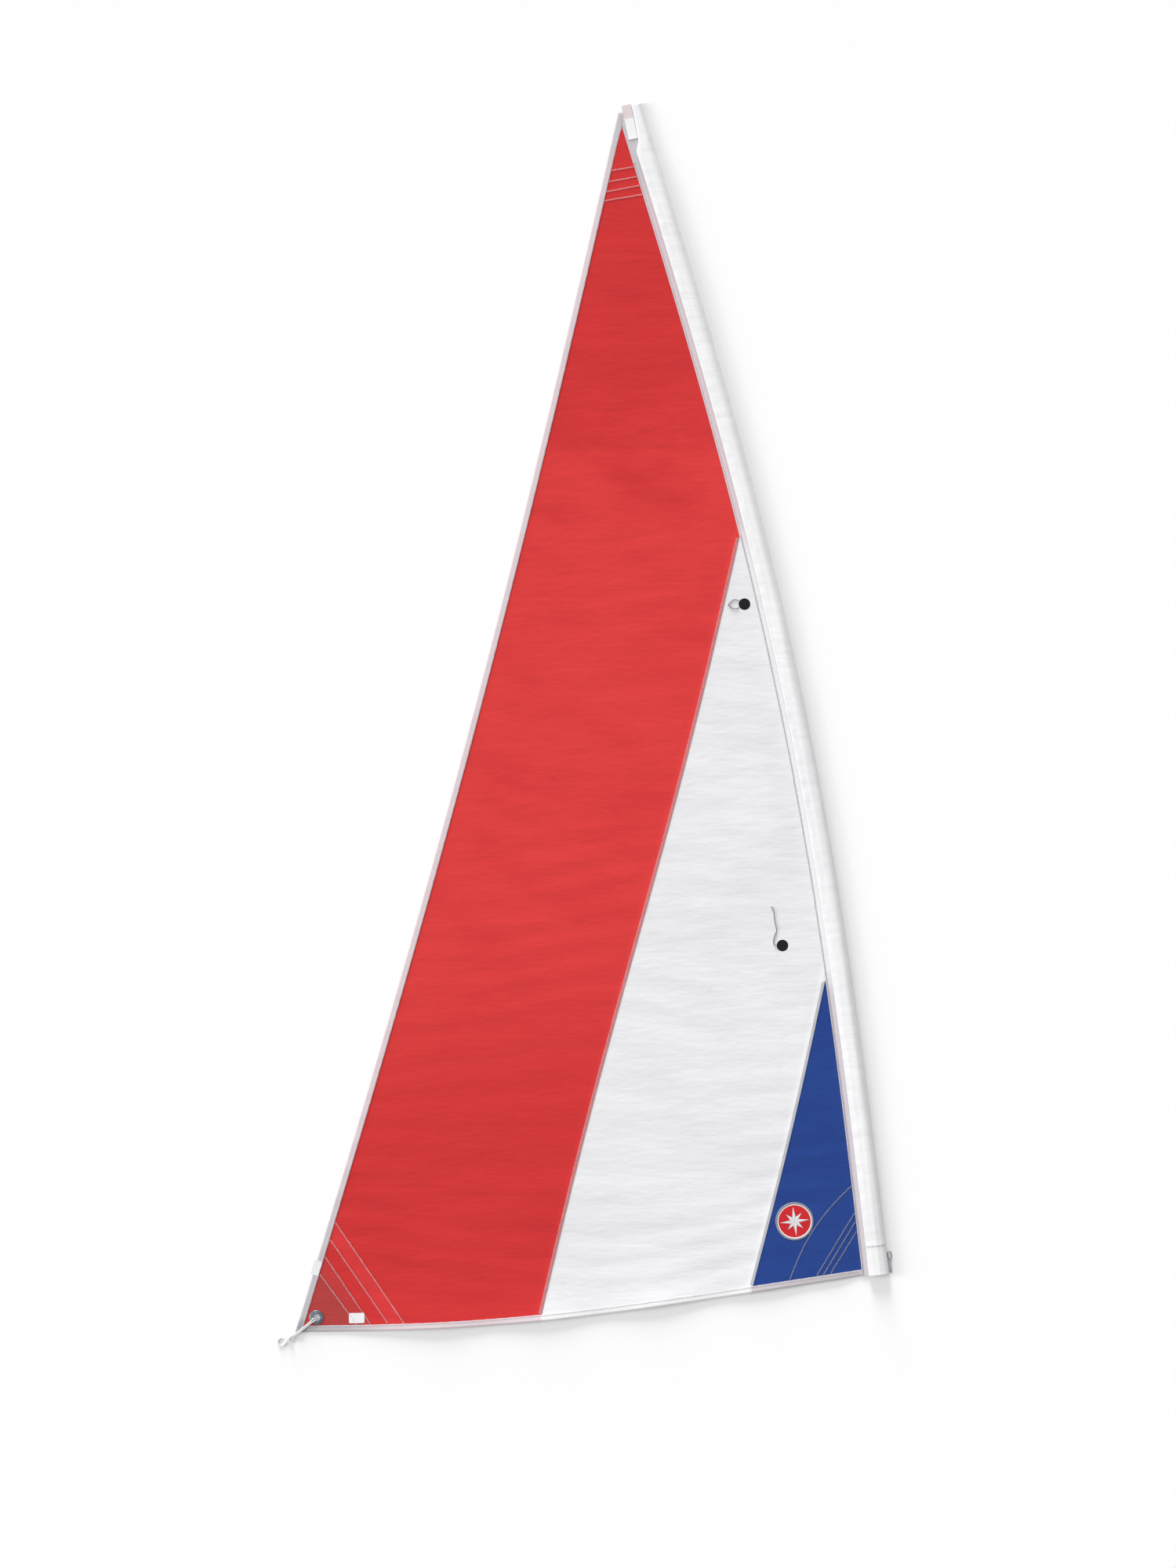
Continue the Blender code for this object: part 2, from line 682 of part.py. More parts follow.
def add_sleeve(finishes, parent):
    """Sleeve for the mast: flat starboard side, arched port side, cuff and head closure."""
    stations = sleeve_stations()
    cloth = finishes["white_cloth"]
    rings = [sleeve_ring(height, starboard_section(height)) for height in stations]
    make_loft("luff_sleeve_starboard", rings, cloth, parent)
    length = LUFF_LENGTH / PORT_LENGTHS
    for index in range(PORT_LENGTHS):
        low = index * length + (GAP / 2 if index else 0.0)
        high = (index + 1) * length - (GAP / 2 if index < PORT_LENGTHS - 1 else 0.0)
        heights = [low] + [height for height in stations if low + GAP < height < high - GAP] + [high]
        rings = [sleeve_ring(height, port_section(height)) for height in heights]
        make_loft(f"luff_sleeve_port_{index + 1}", rings, cloth, parent, smooth=True)
    inset = SLEEVE_CLOTH + GAP
    heights = (0.0, CUFF_HEIGHT)
    outer = [sleeve_ring(height, lining_section(height, inset)) for height in heights]
    inner = [sleeve_ring(height, lining_section(height, inset + CUFF_CLOTH, CUFF_CLOTH))
             for height in heights]
    make_pipe("sleeve_cuff", outer, inner, cloth, parent, smooth=True)
    top = LUFF_LENGTH - CLOSURE_SETBACK
    rings = [sleeve_ring(height, lining_section(height, inset)) for height in (top - CLOSURE_DEPTH, top)]
    make_loft("sleeve_head_closure", rings, finishes["white_webbing"], parent, smooth=True)


def tape_section(width, base):
    """Section of a tape folded round an edge, as insets and heights."""
    return [(0.0, 0.0), (width, 0.0), (width, TAPE_CLOTH), (TAPE_CLOTH, TAPE_CLOTH),
            (TAPE_CLOTH, base), (width, base), (width, base + TAPE_CLOTH), (0.0, base + TAPE_CLOTH)]


def tape_ring(edge, section, run_at):
    """Section of a tape in place, each inset at its own distance along the edge."""
    ring = []
    for inset, level in section:
        place = edge.point(run_at(inset), inset)
        ring.append((place.real, place.imag, level))
    return ring


def leech_flap_width(run):
    """Width of the leech tape, cut back where it would reach the sleeve's flange."""
    def clearance(width):
        height, inset = LUFF.locate(LEECH.point(run, width))
        return inset - sleeve_width(height) - GAP
    if clearance(TAPE_WIDTH) > 0:
        return TAPE_WIDTH
    return crossing(clearance, 2 * TAPE_CLOTH, TAPE_WIDTH)


def add_leech_tape(finishes, parent):
    """Tape along the leech, cut at the clew along the line of the foot."""
    stations = flap_stations(LEECH_NEAR, LEECH_FAR, LEECH.span, LEECH_STEPS)[:-1]
    rings = []
    for run in sorted(stations + [2 * TAPE_WIDTH]):
        base = flap_height(run, LEECH_NEAR, LEECH_FAR, LEECH.span)
        rings.append(tape_ring(LEECH, tape_section(leech_flap_width(run), base), lambda inset, run=run: run))

    def run_at_foot(inset):
        return crossing(lambda run: FOOT.locate(LEECH.point(run, inset))[1],
                        LEECH.span - 2 * TAPE_WIDTH, LEECH.span + TAPE_WIDTH)
    section = tape_section(TAPE_WIDTH, flap_base(PATCH_COUNT))
    rings.append(tape_ring(LEECH, section, run_at_foot))
    make_loft("leech_tape", rings, finishes["grey_tape"], parent)


def add_foot_tape(finishes, parent):
    """Tape along the foot, from the leech tape to the sleeve's flange."""
    def run_at_leech(inset):
        return crossing(lambda run: LEECH.locate(FOOT.point(run, inset))[1] - TAPE_WIDTH - GAP,
                        0.0, 4 * TAPE_WIDTH)

    def run_at_flange(inset):
        def clearance(run):
            height, depth = LUFF.locate(FOOT.point(run, inset))
            return depth - sleeve_width(height) - GAP
        return crossing(clearance, FOOT.span - 4 * TAPE_WIDTH, FOOT.span + TAPE_WIDTH)

    section = tape_section(TAPE_WIDTH, flap_base(PATCH_COUNT))
    rings = [tape_ring(FOOT, section, run_at_leech)]
    for run in flap_stations(FOOT_NEAR, FOOT_FAR, FOOT.span, FOOT_STEPS * 2)[1:-1]:
        base = flap_height(run, FOOT_NEAR, FOOT_FAR, FOOT.span)
        rings.append(tape_ring(FOOT, tape_section(TAPE_WIDTH, base), lambda inset, run=run: run))
    rings.append(tape_ring(FOOT, section, run_at_flange))
    make_loft("foot_tape", rings, finishes["grey_tape"], parent)


def add_head_strap(finishes, parent):
    """White strap on the flange below the head, and the cap folded over the flange's end."""
    top = LUFF_LENGTH
    low = top - CAP_LENGTH - STRAP_LENGTH
    heights = [low + (top - low) * step / PATCH_STEPS for step in range(PATCH_STEPS + 1)]
    tube_side = min(LUFF.point(height, tube_width(height) + STRAP_CLEARANCE).real for height in heights)
    level = flange_base(top) + SLEEVE_CLOTH + GAP
    left, right = tube_side - STRAP_WIDTH, tube_side
    split = top - CAP_LENGTH
    outline = [complex(left, low), complex(right, low), complex(right, split - GAP),
               complex(left, split - GAP)]
    make_plate("head_strap", outline, level, STRAP_CLOTH, finishes["white_webbing"], parent)
    middle = level + STRAP_CLOTH / 2
    bend = (middle - STRAP_CLOTH) / 2
    path = [(0.0, middle), (CAP_LENGTH, middle)]
    for step in range(ARC_STEPS + 1):
        turn = math.pi * (0.5 - step / ARC_STEPS)
        path.append((CAP_LENGTH + CAP_OVERHANG - bend + bend * math.cos(turn),
                     middle - bend + bend * math.sin(turn)))
    path.append((CAP_LENGTH + 2 * GAP, STRAP_CLOTH))
    make_folded_strap("head_cap", path, STRAP_CLOTH, STRAP_WIDTH, complex(right, split), 1j,
                      finishes["grey_tape"], parent)


def eye_place():
    """Middle of the clew's eye, at its distances from the leech and from the foot."""
    run = crossing(lambda run: LEECH.locate(FOOT.point(run, EYE_FROM_FOOT))[1] - EYE_FROM_LEECH,
                   0.0, 3 * EYE_FROM_LEECH)
    return FOOT.point(run, EYE_FROM_FOOT)


def add_eyelet(cut_pieces, finishes, parent):
    """Ring and liner of the clew's eye, and their hole through the layers."""
    place = eye_place()
    outer = EYE_RADIUS + LINER_WALL
    hole = outer + GAP
    base = PATCHES_TOP + GAP
    shoulder = RING_RADIUS - hole
    ring_profile = [(hole, base), (RING_RADIUS, base), (RING_RADIUS, base + 0.35 * RING_HEIGHT),
                    (RING_RADIUS - 0.12 * shoulder, base + 0.75 * RING_HEIGHT),
                    (RING_RADIUS - 0.35 * shoulder, base + RING_HEIGHT), (hole, base + RING_HEIGHT)]
    make_turned("clew_ring", ring_profile, place, 0.0, finishes["eyelet_metal"], parent)
    lip = base + RING_HEIGHT + GAP
    lip_top = lip + LINER_LIP_HEIGHT
    flange_edge = outer + LINER_FLANGE_WIDTH
    lip_edge = outer + LINER_LIP_WIDTH
    liner_profile = [(EYE_RADIUS, 0.0), (flange_edge, 0.0), (flange_edge, LINER_FLANGE),
                     (outer, LINER_FLANGE), (outer, lip), (lip_edge, lip),
                     (lip_edge, lip + 0.5 * LINER_LIP_HEIGHT), (lip_edge - LINER_LIP_HEIGHT, lip_top),
                     (outer, lip_top), (EYE_RADIUS, lip + 0.3 * LINER_LIP_HEIGHT)]
    make_turned("clew_liner", liner_profile, place, 0.0, finishes["eyelet_metal"], parent)

    rim = circle_places(place, hole)
    rings = [[(at.real, at.imag, level) for at in rim] for level in (-RING_HEIGHT, lip_top)]
    cutter = make_loft("clew_eye_cutter", rings, finishes["eyelet_metal"], parent)
    cutter.hide_render = True
    cutter.display_type = "WIRE"
    for piece in cut_pieces:
        cut = piece.modifiers.new("eye", "BOOLEAN")
        cut.operation = "DIFFERENCE"
        cut.object = cutter
    return lip_top


def corner_exit():
    """Place outside the clew at which the doubled cord leaves the sail."""
    return CLEW + LASHING_EXIT


def doubled(strand):
    """Route along one strand and back along its mirror image."""
    return strand + [(run, -side, level) for run, side, level in strand[::-1]]


def place_route(route, origin, heading):
    """Route of distances, offsets to the left and heights, set in place."""
    points = []
    for run, side, level in route:
        at = origin + heading * (run + 1j * side)
        points.append((at.real, at.imag, level))
    return points


def add_lashing(lip_top, finishes, parent):
    """Doubled cord from a bight in the eye, over the ring and the tapes, to the corner."""
    eye = eye_place()
    reach = abs(corner_exit() - eye)
    heading = (corner_exit() - eye) / reach
    radius = CORD_DIAMETER / 2
    side = CORD_SPACING / 2
    floor = radius + 0.0005
    tape = flap_base(PATCH_COUNT) + TAPE_CLOTH + GAP + radius
    rim = PATCHES_TOP + GAP + RING_HEIGHT + 2 * GAP + radius
    lip = lip_top + 3 * GAP + radius
    strand = [(reach, side, floor), (reach - 0.0035, side, floor + 0.0005),
              (reach - 0.0065, side, floor + 0.0024), (reach - 0.0110, side, tape + 0.0004),
              (reach - 0.018, side, tape + 0.0009), (reach - 0.030, side, tape + 0.0005),
              (reach - 0.045, side, tape + 0.0005), (RING_RADIUS + 0.012, side, tape + 0.0009),
              (RING_RADIUS + 0.003, side, rim + 0.0004), (RING_RADIUS - 0.005, side + 0.0008, rim + 0.0012),
              (EYE_RADIUS + 0.0035, side + 0.0014, lip + 0.0002),
              (EYE_RADIUS + 0.0002, side + 0.0018, lip - 0.0001),
              (EYE_RADIUS - 0.0024, side + 0.0020, lip - 0.0019),
              (EYE_RADIUS - 0.0033, side + 0.0020, lip - 0.0044),
              (EYE_RADIUS - 0.0036, side + 0.0018, lip - 0.0064),
              (EYE_RADIUS - 0.0041, side + 0.0004, lip - 0.0078)]
    middle = [(EYE_RADIUS - 0.0043, 0.0, lip - 0.0081)]
    route = strand + middle + doubled(strand)[len(strand):]
    points = smooth_route(place_route(route, eye, heading), CORD_POINT_SPACING)
    make_cord("clew_lashing", points, CORD_DIAMETER, CORD_SIDES, finishes["white_cord"], parent)


def add_clew_loop(finishes, parent):
    """Loop of cord outside the corner, with its knot and its tail."""
    radius = CORD_DIAMETER / 2
    side = CORD_SPACING / 2
    floor = radius + 0.0004
    heading = complex(math.cos(math.radians(LOOP_HEADING)), math.sin(math.radians(LOOP_HEADING)))
    middle = KNOT_HALF_HEIGHT + 0.0003
    finish = KNOT_START + KNOT_LENGTH
    strand = [(5 * GAP, side, floor), (0.008, side, floor + 0.0009), (0.014, side, middle - 0.0016),
              (KNOT_START, side, middle), (finish, side, middle),
              (finish + 0.0055, side + 0.0018, middle - 0.0014), (0.046, 0.0090, floor + 0.0010),
              (0.054, 0.0132, floor), (0.063, 0.0142, floor), (0.0705, 0.0105, floor),
              (0.0738, 0.0040, floor)]
    points = smooth_route(place_route(doubled(strand), corner_exit(), heading), CORD_POINT_SPACING)
    make_cord("clew_loop", points, CORD_DIAMETER, CORD_SIDES, finishes["white_cord"], parent)

    outer_rings = []
    inner_rings = []
    for step in range(KNOT_STEPS + 1):
        share = step / KNOT_STEPS
        swell = 0.72 + 0.28 * math.sin(math.pi * share)
        run = KNOT_START + KNOT_LENGTH * share
        sizes = ((KNOT_HALF_WIDTH * swell, KNOT_HALF_HEIGHT * swell),
                 (side + radius + GAP, radius + GAP))
        for rings, (half_width, half_height) in zip((outer_rings, inner_rings), sizes):
            route = []
            for turn in range(KNOT_SIDES):
                angle = 2 * math.pi * turn / KNOT_SIDES
                route.append((run, half_width * squared(math.cos(angle)),
                              middle + half_height * squared(math.sin(angle))))
            rings.append(place_route(route, corner_exit(), heading))
    make_pipe("clew_loop_knot", outer_rings, inner_rings, finishes["white_cord"], parent, smooth=True)

    start = KNOT_HALF_WIDTH + 2 * GAP
    route = [(0.026, start, middle), (0.0261, start + 0.0034, middle - 0.0001),
             (0.0275, start + 0.0090, floor + 0.0006)]
    points = smooth_route(place_route(route, corner_exit(), heading), CORD_POINT_SPACING)
    make_cord("clew_loop_tail", points, CORD_DIAMETER, CORD_SIDES, finishes["white_cord"], parent)


def squared(value):
    """Value drawn out towards the corners of its square."""
    return math.copysign(abs(value) ** 0.7, value)


def add_tack_ring(finishes, parent):
    """Webbing sewn beside the sleeve's foot, and the ring held in its fold."""
    middle = WEBBING_LENGTH / 2
    heading = LUFF.heading(middle)
    origin = LUFF.point(middle, -GAP) - heading * middle
    lap = WEBBING_CLOTH / 2
    bend = RING_WIRE / 2 + GAP + lap
    hinge = lap + bend
    upper = WEBBING_CLOTH + GAP + lap
    path = [(WEBBING_START, lap), (WEBBING_LENGTH - bend, lap)]
    for step in range(ARC_STEPS + 1):
        turn = math.pi * (step / ARC_STEPS - 0.5)
        path.append((WEBBING_LENGTH + bend * math.cos(turn), hinge + bend * math.sin(turn)))
    for step in range(1, ARC_STEPS + 1):
        share = step / ARC_STEPS
        path.append((WEBBING_LENGTH - WEBBING_DESCENT * share,
                     hinge + bend + (upper - hinge - bend) * ease(share)))
    path.append((WEBBING_LENGTH - WEBBING_RETURN, upper))
    strap = make_folded_strap("tack_webbing", path, WEBBING_CLOTH, WEBBING_WIDTH,
                              origin - 1j * heading * WEBBING_WIDTH, heading,
                              finishes["grey_tape"], parent)

    inner_reach = RING_WIRE + TACK_RING_CORNER + GAP
    corners = [origin + heading * (WEBBING_LENGTH - NOTCH_DEPTH + 1j * GAP)]
    corners.append(corners[0] - 1j * heading * (inner_reach + GAP))
    corners += [corner + heading * 2 * NOTCH_DEPTH for corner in corners[::-1]]
    rings = [[(corner.real, corner.imag, level) for corner in corners] for level in (-bend, 4 * bend)]
    cutter = make_loft("tack_webbing_cutter", rings, finishes["grey_tape"], parent)
    cutter.hide_render = True
    cutter.display_type = "WIRE"
    cut = strap.modifiers.new("notch", "BOOLEAN")
    cut.operation = "DIFFERENCE"
    cut.object = cutter

    pivot = bpy.data.objects.new("tack_ring_axis", None)
    pivot.parent = parent
    place = origin + heading * (WEBBING_LENGTH - 1j * (TACK_RING_WIDTH / 2))
    pivot.location = (place.real, place.imag, hinge)
    pivot.rotation_euler.z = math.atan2(heading.imag, heading.real) - math.pi / 2
    bpy.context.collection.objects.link(pivot)
    half = (TACK_RING_WIDTH - RING_WIRE) / 2
    corner = TACK_RING_CORNER
    round_start = TACK_RING_LENGTH - RING_WIRE - half
    points = []
    for side, first in ((-1, 1.0), (1, 1.5)):
        for step in range(ARC_STEPS + 1):
            turn = math.pi * (first + 0.5 * step / ARC_STEPS)
            points.append((side * (half - corner) + corner * math.cos(turn),
                           corner + corner * math.sin(turn), 0.0))
    for step in range(2 * ARC_STEPS + 1):
        turn = math.pi * step / (2 * ARC_STEPS)
        points.append((half * math.cos(turn), round_start + half * math.sin(turn), 0.0))
    make_cord("tack_ring", points, RING_WIRE, CORD_SIDES, finishes["eyelet_metal"], pivot, closed=True)


def add_telltale(name, disc_place, yarn_route, finishes, parent):
    """Disc on each side of the cloth and a yarn that swings about the port disc's rim."""
    centre = LUFF.point(*disc_place)
    places = circle_places(centre, DISC_RADIUS)
    front_base = PANEL_TOP + GAP
    make_plate(f"{name}_port_disc", places, front_base, DISC_CLOTH, finishes["black_disc"], parent)
    make_plate(f"{name}_starboard_disc", places, PANEL_BASE - GAP - DISC_CLOTH, DISC_CLOTH,
               finishes["black_disc"], parent)
    level = max(front_base + DISC_CLOTH, LAP_TOP) + GAP + YARN_DIAMETER / 2
    first = yarn_route[0]
    route = [(x - first[0], y - first[1], 0.0) for x, y in yarn_route]
    yarn = make_cord(f"{name}_yarn", smooth_route(route, YARN_POINT_SPACING), YARN_DIAMETER, YARN_SIDES,
                     finishes["grey_yarn"], parent)
    yarn.location = (centre.real + first[0], centre.imag + first[1], level)


def add_telltales(finishes, parent):
    """Upper and lower tell-tales, their yarns routed from the middle of each disc."""
    upper_route = [(-0.0163, 0.0130), (-0.0240, 0.0195), (-0.0354, 0.0240), (-0.0501, 0.0181),
                   (-0.0592, 0.0102), (-0.0540, -0.0005), (-0.0425, -0.0099), (-0.0300, -0.0100),
                   (-0.0225, -0.0072)]
    lower_route = [(-0.0196, 0.0009), (-0.0262, 0.0050), (-0.0298, 0.0112), (-0.0291, 0.0253),
                   (-0.0207, 0.0424), (-0.0098, 0.0600), (-0.0091, 0.0774), (-0.0088, 0.1040),
                   (-0.0059, 0.1249), (-0.0075, 0.1411), (-0.0114, 0.1512)]
    add_telltale("telltale_upper", UPPER_DISC, upper_route, finishes, parent)
    add_telltale("telltale_lower", LOWER_DISC, lower_route, finishes, parent)


def label_outline(edge, run, inset, size):
    """Corners of a label set square to an edge."""
    middle = edge.point(run, inset)
    heading = edge.heading(run)
    length, width = size
    signs = ((-1, -1), (1, -1), (1, 1), (-1, 1))
    return [middle + heading * (along * length / 2 + 1j * across * width / 2) for along, across in signs]


def add_trim(finishes, parent):
    """Round badge and two blank labels."""
    make_plate("compass_badge", circle_places(LUFF.point(*BADGE_PLACE), BADGE_RADIUS),
               PANEL_TOP + GAP, TRIM_CLOTH, finishes["white_label"], parent)
    reach, inset = LEECH_LABEL_PLACE
    outline = label_outline(LEECH, LEECH.span - reach, inset, LEECH_LABEL_SIZE)
    make_plate("leech_label", outline, flap_base(PATCH_COUNT) + TAPE_CLOTH + GAP, TRIM_CLOTH,
               finishes["white_label"], parent)
    outline = label_outline(FOOT, *MEASUREMENT_LABEL_PLACE, MEASUREMENT_LABEL_SIZE)
    make_plate("measurement_label", outline, PATCHES_TOP + GAP, TRIM_CLOTH, finishes["white_label"],
               parent)


def centre_on_floor(root):
    """Move the sail so that the middle of its box, less the free cords, stands over the origin."""
    bpy.context.view_layer.update()
    view = bpy.context.evaluated_depsgraph_get()
    places = []
    for item in bpy.context.scene.objects:
        if item.type in ("MESH", "CURVE") and not item.hide_render and item.name not in FREE_CORDS:
            evaluated = item.evaluated_get(view)
            for vertex in evaluated.to_mesh().vertices:
                places.append((item.matrix_world @ vertex.co).xy)
            evaluated.to_mesh_clear()
    root.location.x = -(min(x for x, _ in places) + max(x for x, _ in places)) / 2
    root.location.y = -(min(y for _, y in places) + max(y for _, y in places)) / 2


def main():
    """Build the sail."""
    for item in list(bpy.data.objects):
        bpy.data.objects.remove(item, do_unlink=True)
    finishes = make_finishes()
    root = bpy.data.objects.new("sail_laid_flat", None)
    bpy.context.collection.objects.link(root)
    red_panel = add_panels(finishes, root)
    clew_patches = add_clew_patches(finishes, root)
    add_head_patches(finishes, root)
    add_tack_patches(finishes, root)
    add_sleeve(finishes, root)
    add_leech_tape(finishes, root)
    add_foot_tape(finishes, root)
    add_head_strap(finishes, root)
    lip_top = add_eyelet([red_panel] + clew_patches, finishes, root)
    add_lashing(lip_top, finishes, root)
    add_clew_loop(finishes, root)
    add_tack_ring(finishes, root)
    add_telltales(finishes, root)
    add_trim(finishes, root)
    centre_on_floor(root)


main()
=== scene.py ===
"""Looks of a small dinghy's mainsail with a sleeve luff, laid flat on a pale floor.

Metres, +Z up. A place in plan is a complex number in the sail's own frame, which has its origin at
the outer foot corner of the sleeve and +Y up the luff. A quarter turn to the left is a product
with 1j. SAIL_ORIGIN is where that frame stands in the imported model's, and PICTURE_UP is the sail's
direction that points to the top of the picture.
"""
from __future__ import annotations

import logging
from collections.abc import Callable, Iterator, Mapping, Sequence
from dataclasses import dataclass, field
from enum import Enum
from itertools import accumulate
from math import atan2, cos, dist, exp, pi, radians, sin, sqrt, tau

import bmesh
import bpy
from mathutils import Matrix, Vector, noise

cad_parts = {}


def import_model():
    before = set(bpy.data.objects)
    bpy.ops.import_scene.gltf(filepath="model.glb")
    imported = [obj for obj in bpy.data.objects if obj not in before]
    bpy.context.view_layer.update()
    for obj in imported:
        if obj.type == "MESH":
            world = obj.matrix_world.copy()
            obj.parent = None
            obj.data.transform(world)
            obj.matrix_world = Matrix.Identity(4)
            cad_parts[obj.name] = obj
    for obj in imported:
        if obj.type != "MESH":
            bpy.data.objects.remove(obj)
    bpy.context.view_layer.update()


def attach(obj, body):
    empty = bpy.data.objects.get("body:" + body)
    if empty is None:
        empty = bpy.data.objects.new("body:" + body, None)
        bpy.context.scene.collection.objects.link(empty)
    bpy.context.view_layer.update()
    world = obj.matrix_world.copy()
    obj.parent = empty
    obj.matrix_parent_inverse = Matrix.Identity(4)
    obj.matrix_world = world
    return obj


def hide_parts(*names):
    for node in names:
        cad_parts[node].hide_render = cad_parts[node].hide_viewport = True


log = logging.getLogger("dinghy_sail")

Point = tuple[float, float, float]
Face = tuple[int, ...]
Pair = tuple[float, float]
Rows = Sequence[Sequence[Point]]
Sockets = Mapping[str, object]
Piece = bpy.types.Object
Color = tuple[float, float, float, float]
SAIL_ORIGIN = complex(1.044093132019043, -2.23895001411438)
PICTURE_UP = complex(0.2072, 0.9783)
GAP = 0.0003


def clamp(share: float) -> float:
    """Share held between 0 and 1."""
    return min(1.0, max(0.0, share))


def ease(share: float) -> float:
    """Smooth step from 0 to 1."""
    share = clamp(share)
    return share * share * (3 - 2 * share)


def mix(first: float, second: float, share: float) -> float:
    """Value at a share of the way from one value to another."""
    return first + (second - first) * share


def at(place: complex, level: float) -> Point:
    """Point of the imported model's frame over a place in plan."""
    world = place + SAIL_ORIGIN
    return world.real, world.imag, level


def crossing(gauge: Callable[[float], float], low: float, high: float) -> float:
    """Find where a gauge changes its sign.

    Args:
        gauge: Function of one value.
        low: Value on one side of the change.
        high: Value on the other side.

    Returns:
        The value at which the gauge changes its sign.
    """
    low_is_positive = gauge(low) > 0
    for _ in range(45):
        middle = (low + high) / 2
        if (gauge(middle) > 0) == low_is_positive:
            low = middle
        else:
            high = middle
    return (low + high) / 2


@dataclass(frozen=True)
class Edge:
    """An edge or a seam in plan: a chord from start to end, bent sideways by half waves."""

    start: complex
    end: complex
    bows: tuple[float, ...]

    @property
    def span(self) -> float:
        """Length of the chord."""
        return abs(self.end - self.start)

    @property
    def along(self) -> complex:
        """Direction of the chord."""
        return (self.end - self.start) / self.span

    def rise(self, run: float) -> float:
        """Sideways distance of the edge from its chord."""
        return sum(bow * sin(pi * count * run / self.span)
                   for count, bow in enumerate(self.bows, start=1))

    def heading(self, run: float) -> complex:
        """Direction of the edge at a distance along its chord."""
        slope = sum(bow * pi * count * cos(pi * count * run / self.span)
                    for count, bow in enumerate(self.bows, start=1))
        direction = self.along * (1 + 1j * slope / self.span)
        return direction / abs(direction)

    def point(self, run: float, inset: float = 0.0) -> complex:
        """Place at a distance along the chord, inset to the left of the edge."""
        return self.start + self.along * (run + 1j * self.rise(run)) + self.heading(run) * 1j * inset

    def near(self, place: complex) -> Pair:
        """Run and inset of a place, good to a few parts in a thousand."""
        offset = (place - self.start) * self.along.conjugate()
        return offset.real, offset.imag - self.rise(offset.real)

    def locate(self, place: complex) -> Pair:
        """Exact run and inset of a place."""
        run = ((place - self.start) * self.along.conjugate()).real
        for _ in range(6):
            run += ((place - self.point(run)) * self.heading(run).conjugate()).real
        return run, ((place - self.point(run)) * (self.heading(run) * 1j).conjugate()).real

    def stretch(self, first: float, last: float, count: int, inset: float = 0.0) -> list[complex]:
        """Places at even steps from one run to another, both ends included."""
        return [self.point(mix(first, last, step / count), inset) for step in range(count + 1)]


def corner_from(first: complex, first_radius: float, second: complex, second_radius: float) -> complex:
    """Corner at two given distances from two places, to the left of the way between them."""
    way = second - first
    span = abs(way)
    along = (first_radius ** 2 - second_radius ** 2 + span ** 2) / (2 * span)
    return first + way / span * (along + 1j * sqrt(first_radius ** 2 - along ** 2))


class Corner(Enum):
    """Corners of the sail."""

    CLEW = "clew"
    HEAD = "head"
    TACK = "tack"


